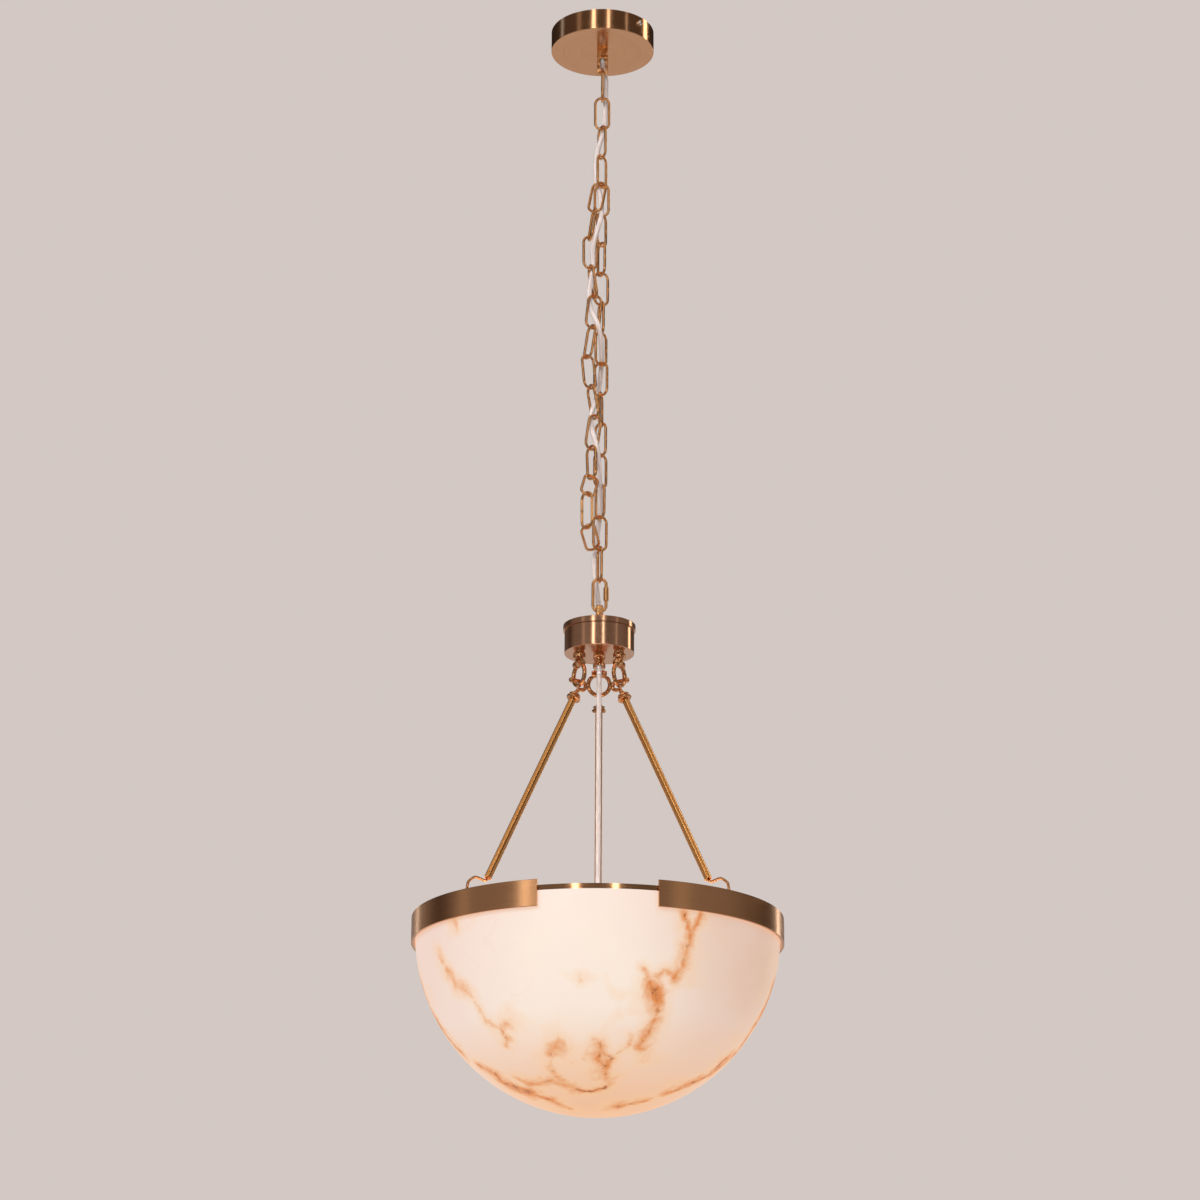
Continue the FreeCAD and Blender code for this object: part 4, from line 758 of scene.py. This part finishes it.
for turn, rise, tight, amount in ((-114.0, 0.23, 30.0, 0.95), (122.0, 0.23, 12.0, 0.97), (30.0, 0.23, 60.0, 0.35)):
    a = math.radians(turn)
    c = math.sqrt(1 - rise * rise)
    dot = wn.new("ShaderNodeVectorMath")
    dot.operation = "DOT_PRODUCT"
    dot.inputs[1].default_value = (c * math.sin(a), -c * math.cos(a), rise)
    wl.new(tc.outputs["Generated"], dot.inputs[0])
    fall = wn.new("ShaderNodeMath")
    fall.operation = "MULTIPLY_ADD"
    fall.inputs[1].default_value = tight
    fall.inputs[2].default_value = -tight
    wl.new(dot.outputs["Value"], fall.inputs[0])
    bell = wn.new("ShaderNodeMath")
    bell.operation = "EXPONENT"
    wl.new(fall.outputs[0], bell.inputs[0])
    part = wn.new("ShaderNodeMath")
    part.operation = "MULTIPLY"
    part.inputs[1].default_value = amount
    wl.new(bell.outputs[0], part.inputs[0])
    if patch is None:
        patch = part
    else:
        both_patches = wn.new("ShaderNodeMath")
        both_patches.operation = "ADD"
        wl.new(patch.outputs[0], both_patches.inputs[0])
        wl.new(part.outputs[0], both_patches.inputs[1])
        patch = both_patches
w_dark = wn.new("ShaderNodeMix")
w_dark.data_type = "RGBA"
wl.new(patch.outputs[0], w_dark.inputs[0])
wl.new(w_dim.outputs[2], w_dark.inputs[6])
w_dark.inputs[7].default_value = (0.05, 0.035, 0.028, 1.0)
# behind the lamp the room is darker above the horizon
far_side = wn.new("ShaderNodeMapRange")
for i, v in ((1, 0.15), (2, 0.70), (3, 0.0), (4, 0.85)):
    far_side.inputs[i].default_value = v
wl.new(sp.outputs[1], far_side.inputs[0])
high_side = wn.new("ShaderNodeMapRange")
for i, v in ((1, 0.26), (2, 0.33), (3, 0.0), (4, 1.0)):
    high_side.inputs[i].default_value = v
wl.new(sp.outputs[2], high_side.inputs[0])
far_high = wn.new("ShaderNodeMath")
far_high.operation = "MULTIPLY"
wl.new(far_side.outputs[0], far_high.inputs[0])
wl.new(high_side.outputs[0], far_high.inputs[1])
w_far = wn.new("ShaderNodeMix")
w_far.data_type = "RGBA"
wl.new(far_high.outputs[0], w_far.inputs[0])
wl.new(w_dark.outputs[2], w_far.inputs[6])
w_far.inputs[7].default_value = (0.02, 0.014, 0.010, 1.0)
wl.new(w_far.outputs[2], w_env.inputs[0])
wl.new(seen.outputs[0], w_mix.inputs[0])
wl.new(w_env.outputs[0], w_mix.inputs[1])
wl.new(w_back.outputs[0], w_mix.inputs[2])
wl.new(w_mix.outputs[0], w_out.inputs[0])


def strip(name, turn, width, z0, z1, radiance, colour, dist=3.0):
    """A soft box that stands round the lamp; turn is measured from the viewer towards +X."""
    a = math.radians(turn)
    li = bpy.data.lights.new(name, "AREA")
    li.shape = "RECTANGLE"
    li.size, li.size_y = width, z1 - z0
    li.energy = radiance * math.pi * width * (z1 - z0)
    li.color = colour
    ob = bpy.data.objects.new(name, li)
    scene.collection.objects.link(ob)
    ob.location = (dist * math.sin(a), -dist * math.cos(a), (z0 + z1) / 2)
    ob.rotation_euler = (math.radians(90), 0, math.atan2(math.sin(a), math.cos(a)))
    ob.visible_camera = False
    return ob


CREAM, WARM, GOLD = (1.0, 0.92, 0.82), (1.0, 0.86, 0.74), (1.0, 0.88, 0.68)
strip("strip_left", -20.0, 0.36, -0.10, 2.0, 3.0, CREAM)
strip("strip_right", 13.0, 0.24, -0.10, 2.0, 2.8, CREAM)
strip("strip_gap_left", -13.5, 0.18, -0.78, -0.14, 7.0, CREAM)
strip("strip_gap_right", 10.5, 0.16, -0.78, -0.14, 7.0, CREAM)
strip("strip_thin_high", 55.0, 0.10, 1.15, 2.1, 1.3, CREAM)
strip("strip_thin_low", 58.0, 0.16, -0.15, 0.55, 0.55, CREAM)
strip("strip_gold_high", 112.0, 0.62, 1.15, 2.1, 3.6, GOLD)
strip("strip_gold_low", 118.0, 0.62, -0.15, 0.50, 2.3, GOLD)
strip("strip_brown", -54.0, 0.5, -0.15, 2.1, 0.22, WARM)
strip("strip_blue_high", -103.0, 0.5, 1.15, 2.1, 0.42, (0.66, 0.84, 1.0))
strip("strip_rim_gap", -43.0, 0.34, -0.95, -0.12, 1.75, CREAM)
strip("strip_rim_left", -88.0, 0.50, -0.95, -0.12, 0.16, WARM)
strip("strip_rim_right", 144.0, 0.26, -0.95, -0.12, 2.6, CREAM)
strip("strip_rim_back", -144.0, 0.26, -0.95, -0.12, 1.1, CREAM)
strip("strip_rim_amber", 50.0, 0.50, -0.95, -0.12, 0.16, GOLD)

key = bpy.data.lights.new("key", "AREA")
key.shape = "DISK"
key.size = 2.4
key.energy = 150.0
key.color = (1.0, 0.97, 0.95)
key_ob = bpy.data.objects.new("key", key)
scene.collection.objects.link(key_ob)
key_ob.location = (-1.6, -3.6, 0.6)
key_ob.rotation_euler = (Vector((0, 0, -0.6)) - key_ob.location).to_track_quat("-Z", "Y").to_euler()
key_ob.visible_camera = False
key_ob.visible_glossy = False

over = bpy.data.lights.new("overhead", "AREA")
over.shape = "DISK"
over.size = 5.0
over.energy = 160.0
over.color = (1.0, 0.97, 0.95)
over_ob = bpy.data.objects.new("overhead", over)
scene.collection.objects.link(over_ob)
over_ob.location = (0, 0, 4.0)
over_ob.visible_camera = False
over_ob.visible_glossy = False

for k, deg in enumerate((270.0, 30.0, 150.0)):
    a = math.radians(deg)
    li = bpy.data.lights.new("lamp_light_%d" % (k + 1), "POINT")
    li.energy = 0.55
    li.shadow_soft_size = 0.03
    li.color = (1.0, 0.66, 0.36)
    ob = bpy.data.objects.new("lamp_light_%d" % (k + 1), li)
    scene.collection.objects.link(ob)
    ob.location = (0.105 * math.cos(a), 0.105 * math.sin(a), -1.15)
    ob.visible_camera = False
    ob.visible_glossy = False

scene.view_settings.view_transform = "Standard"
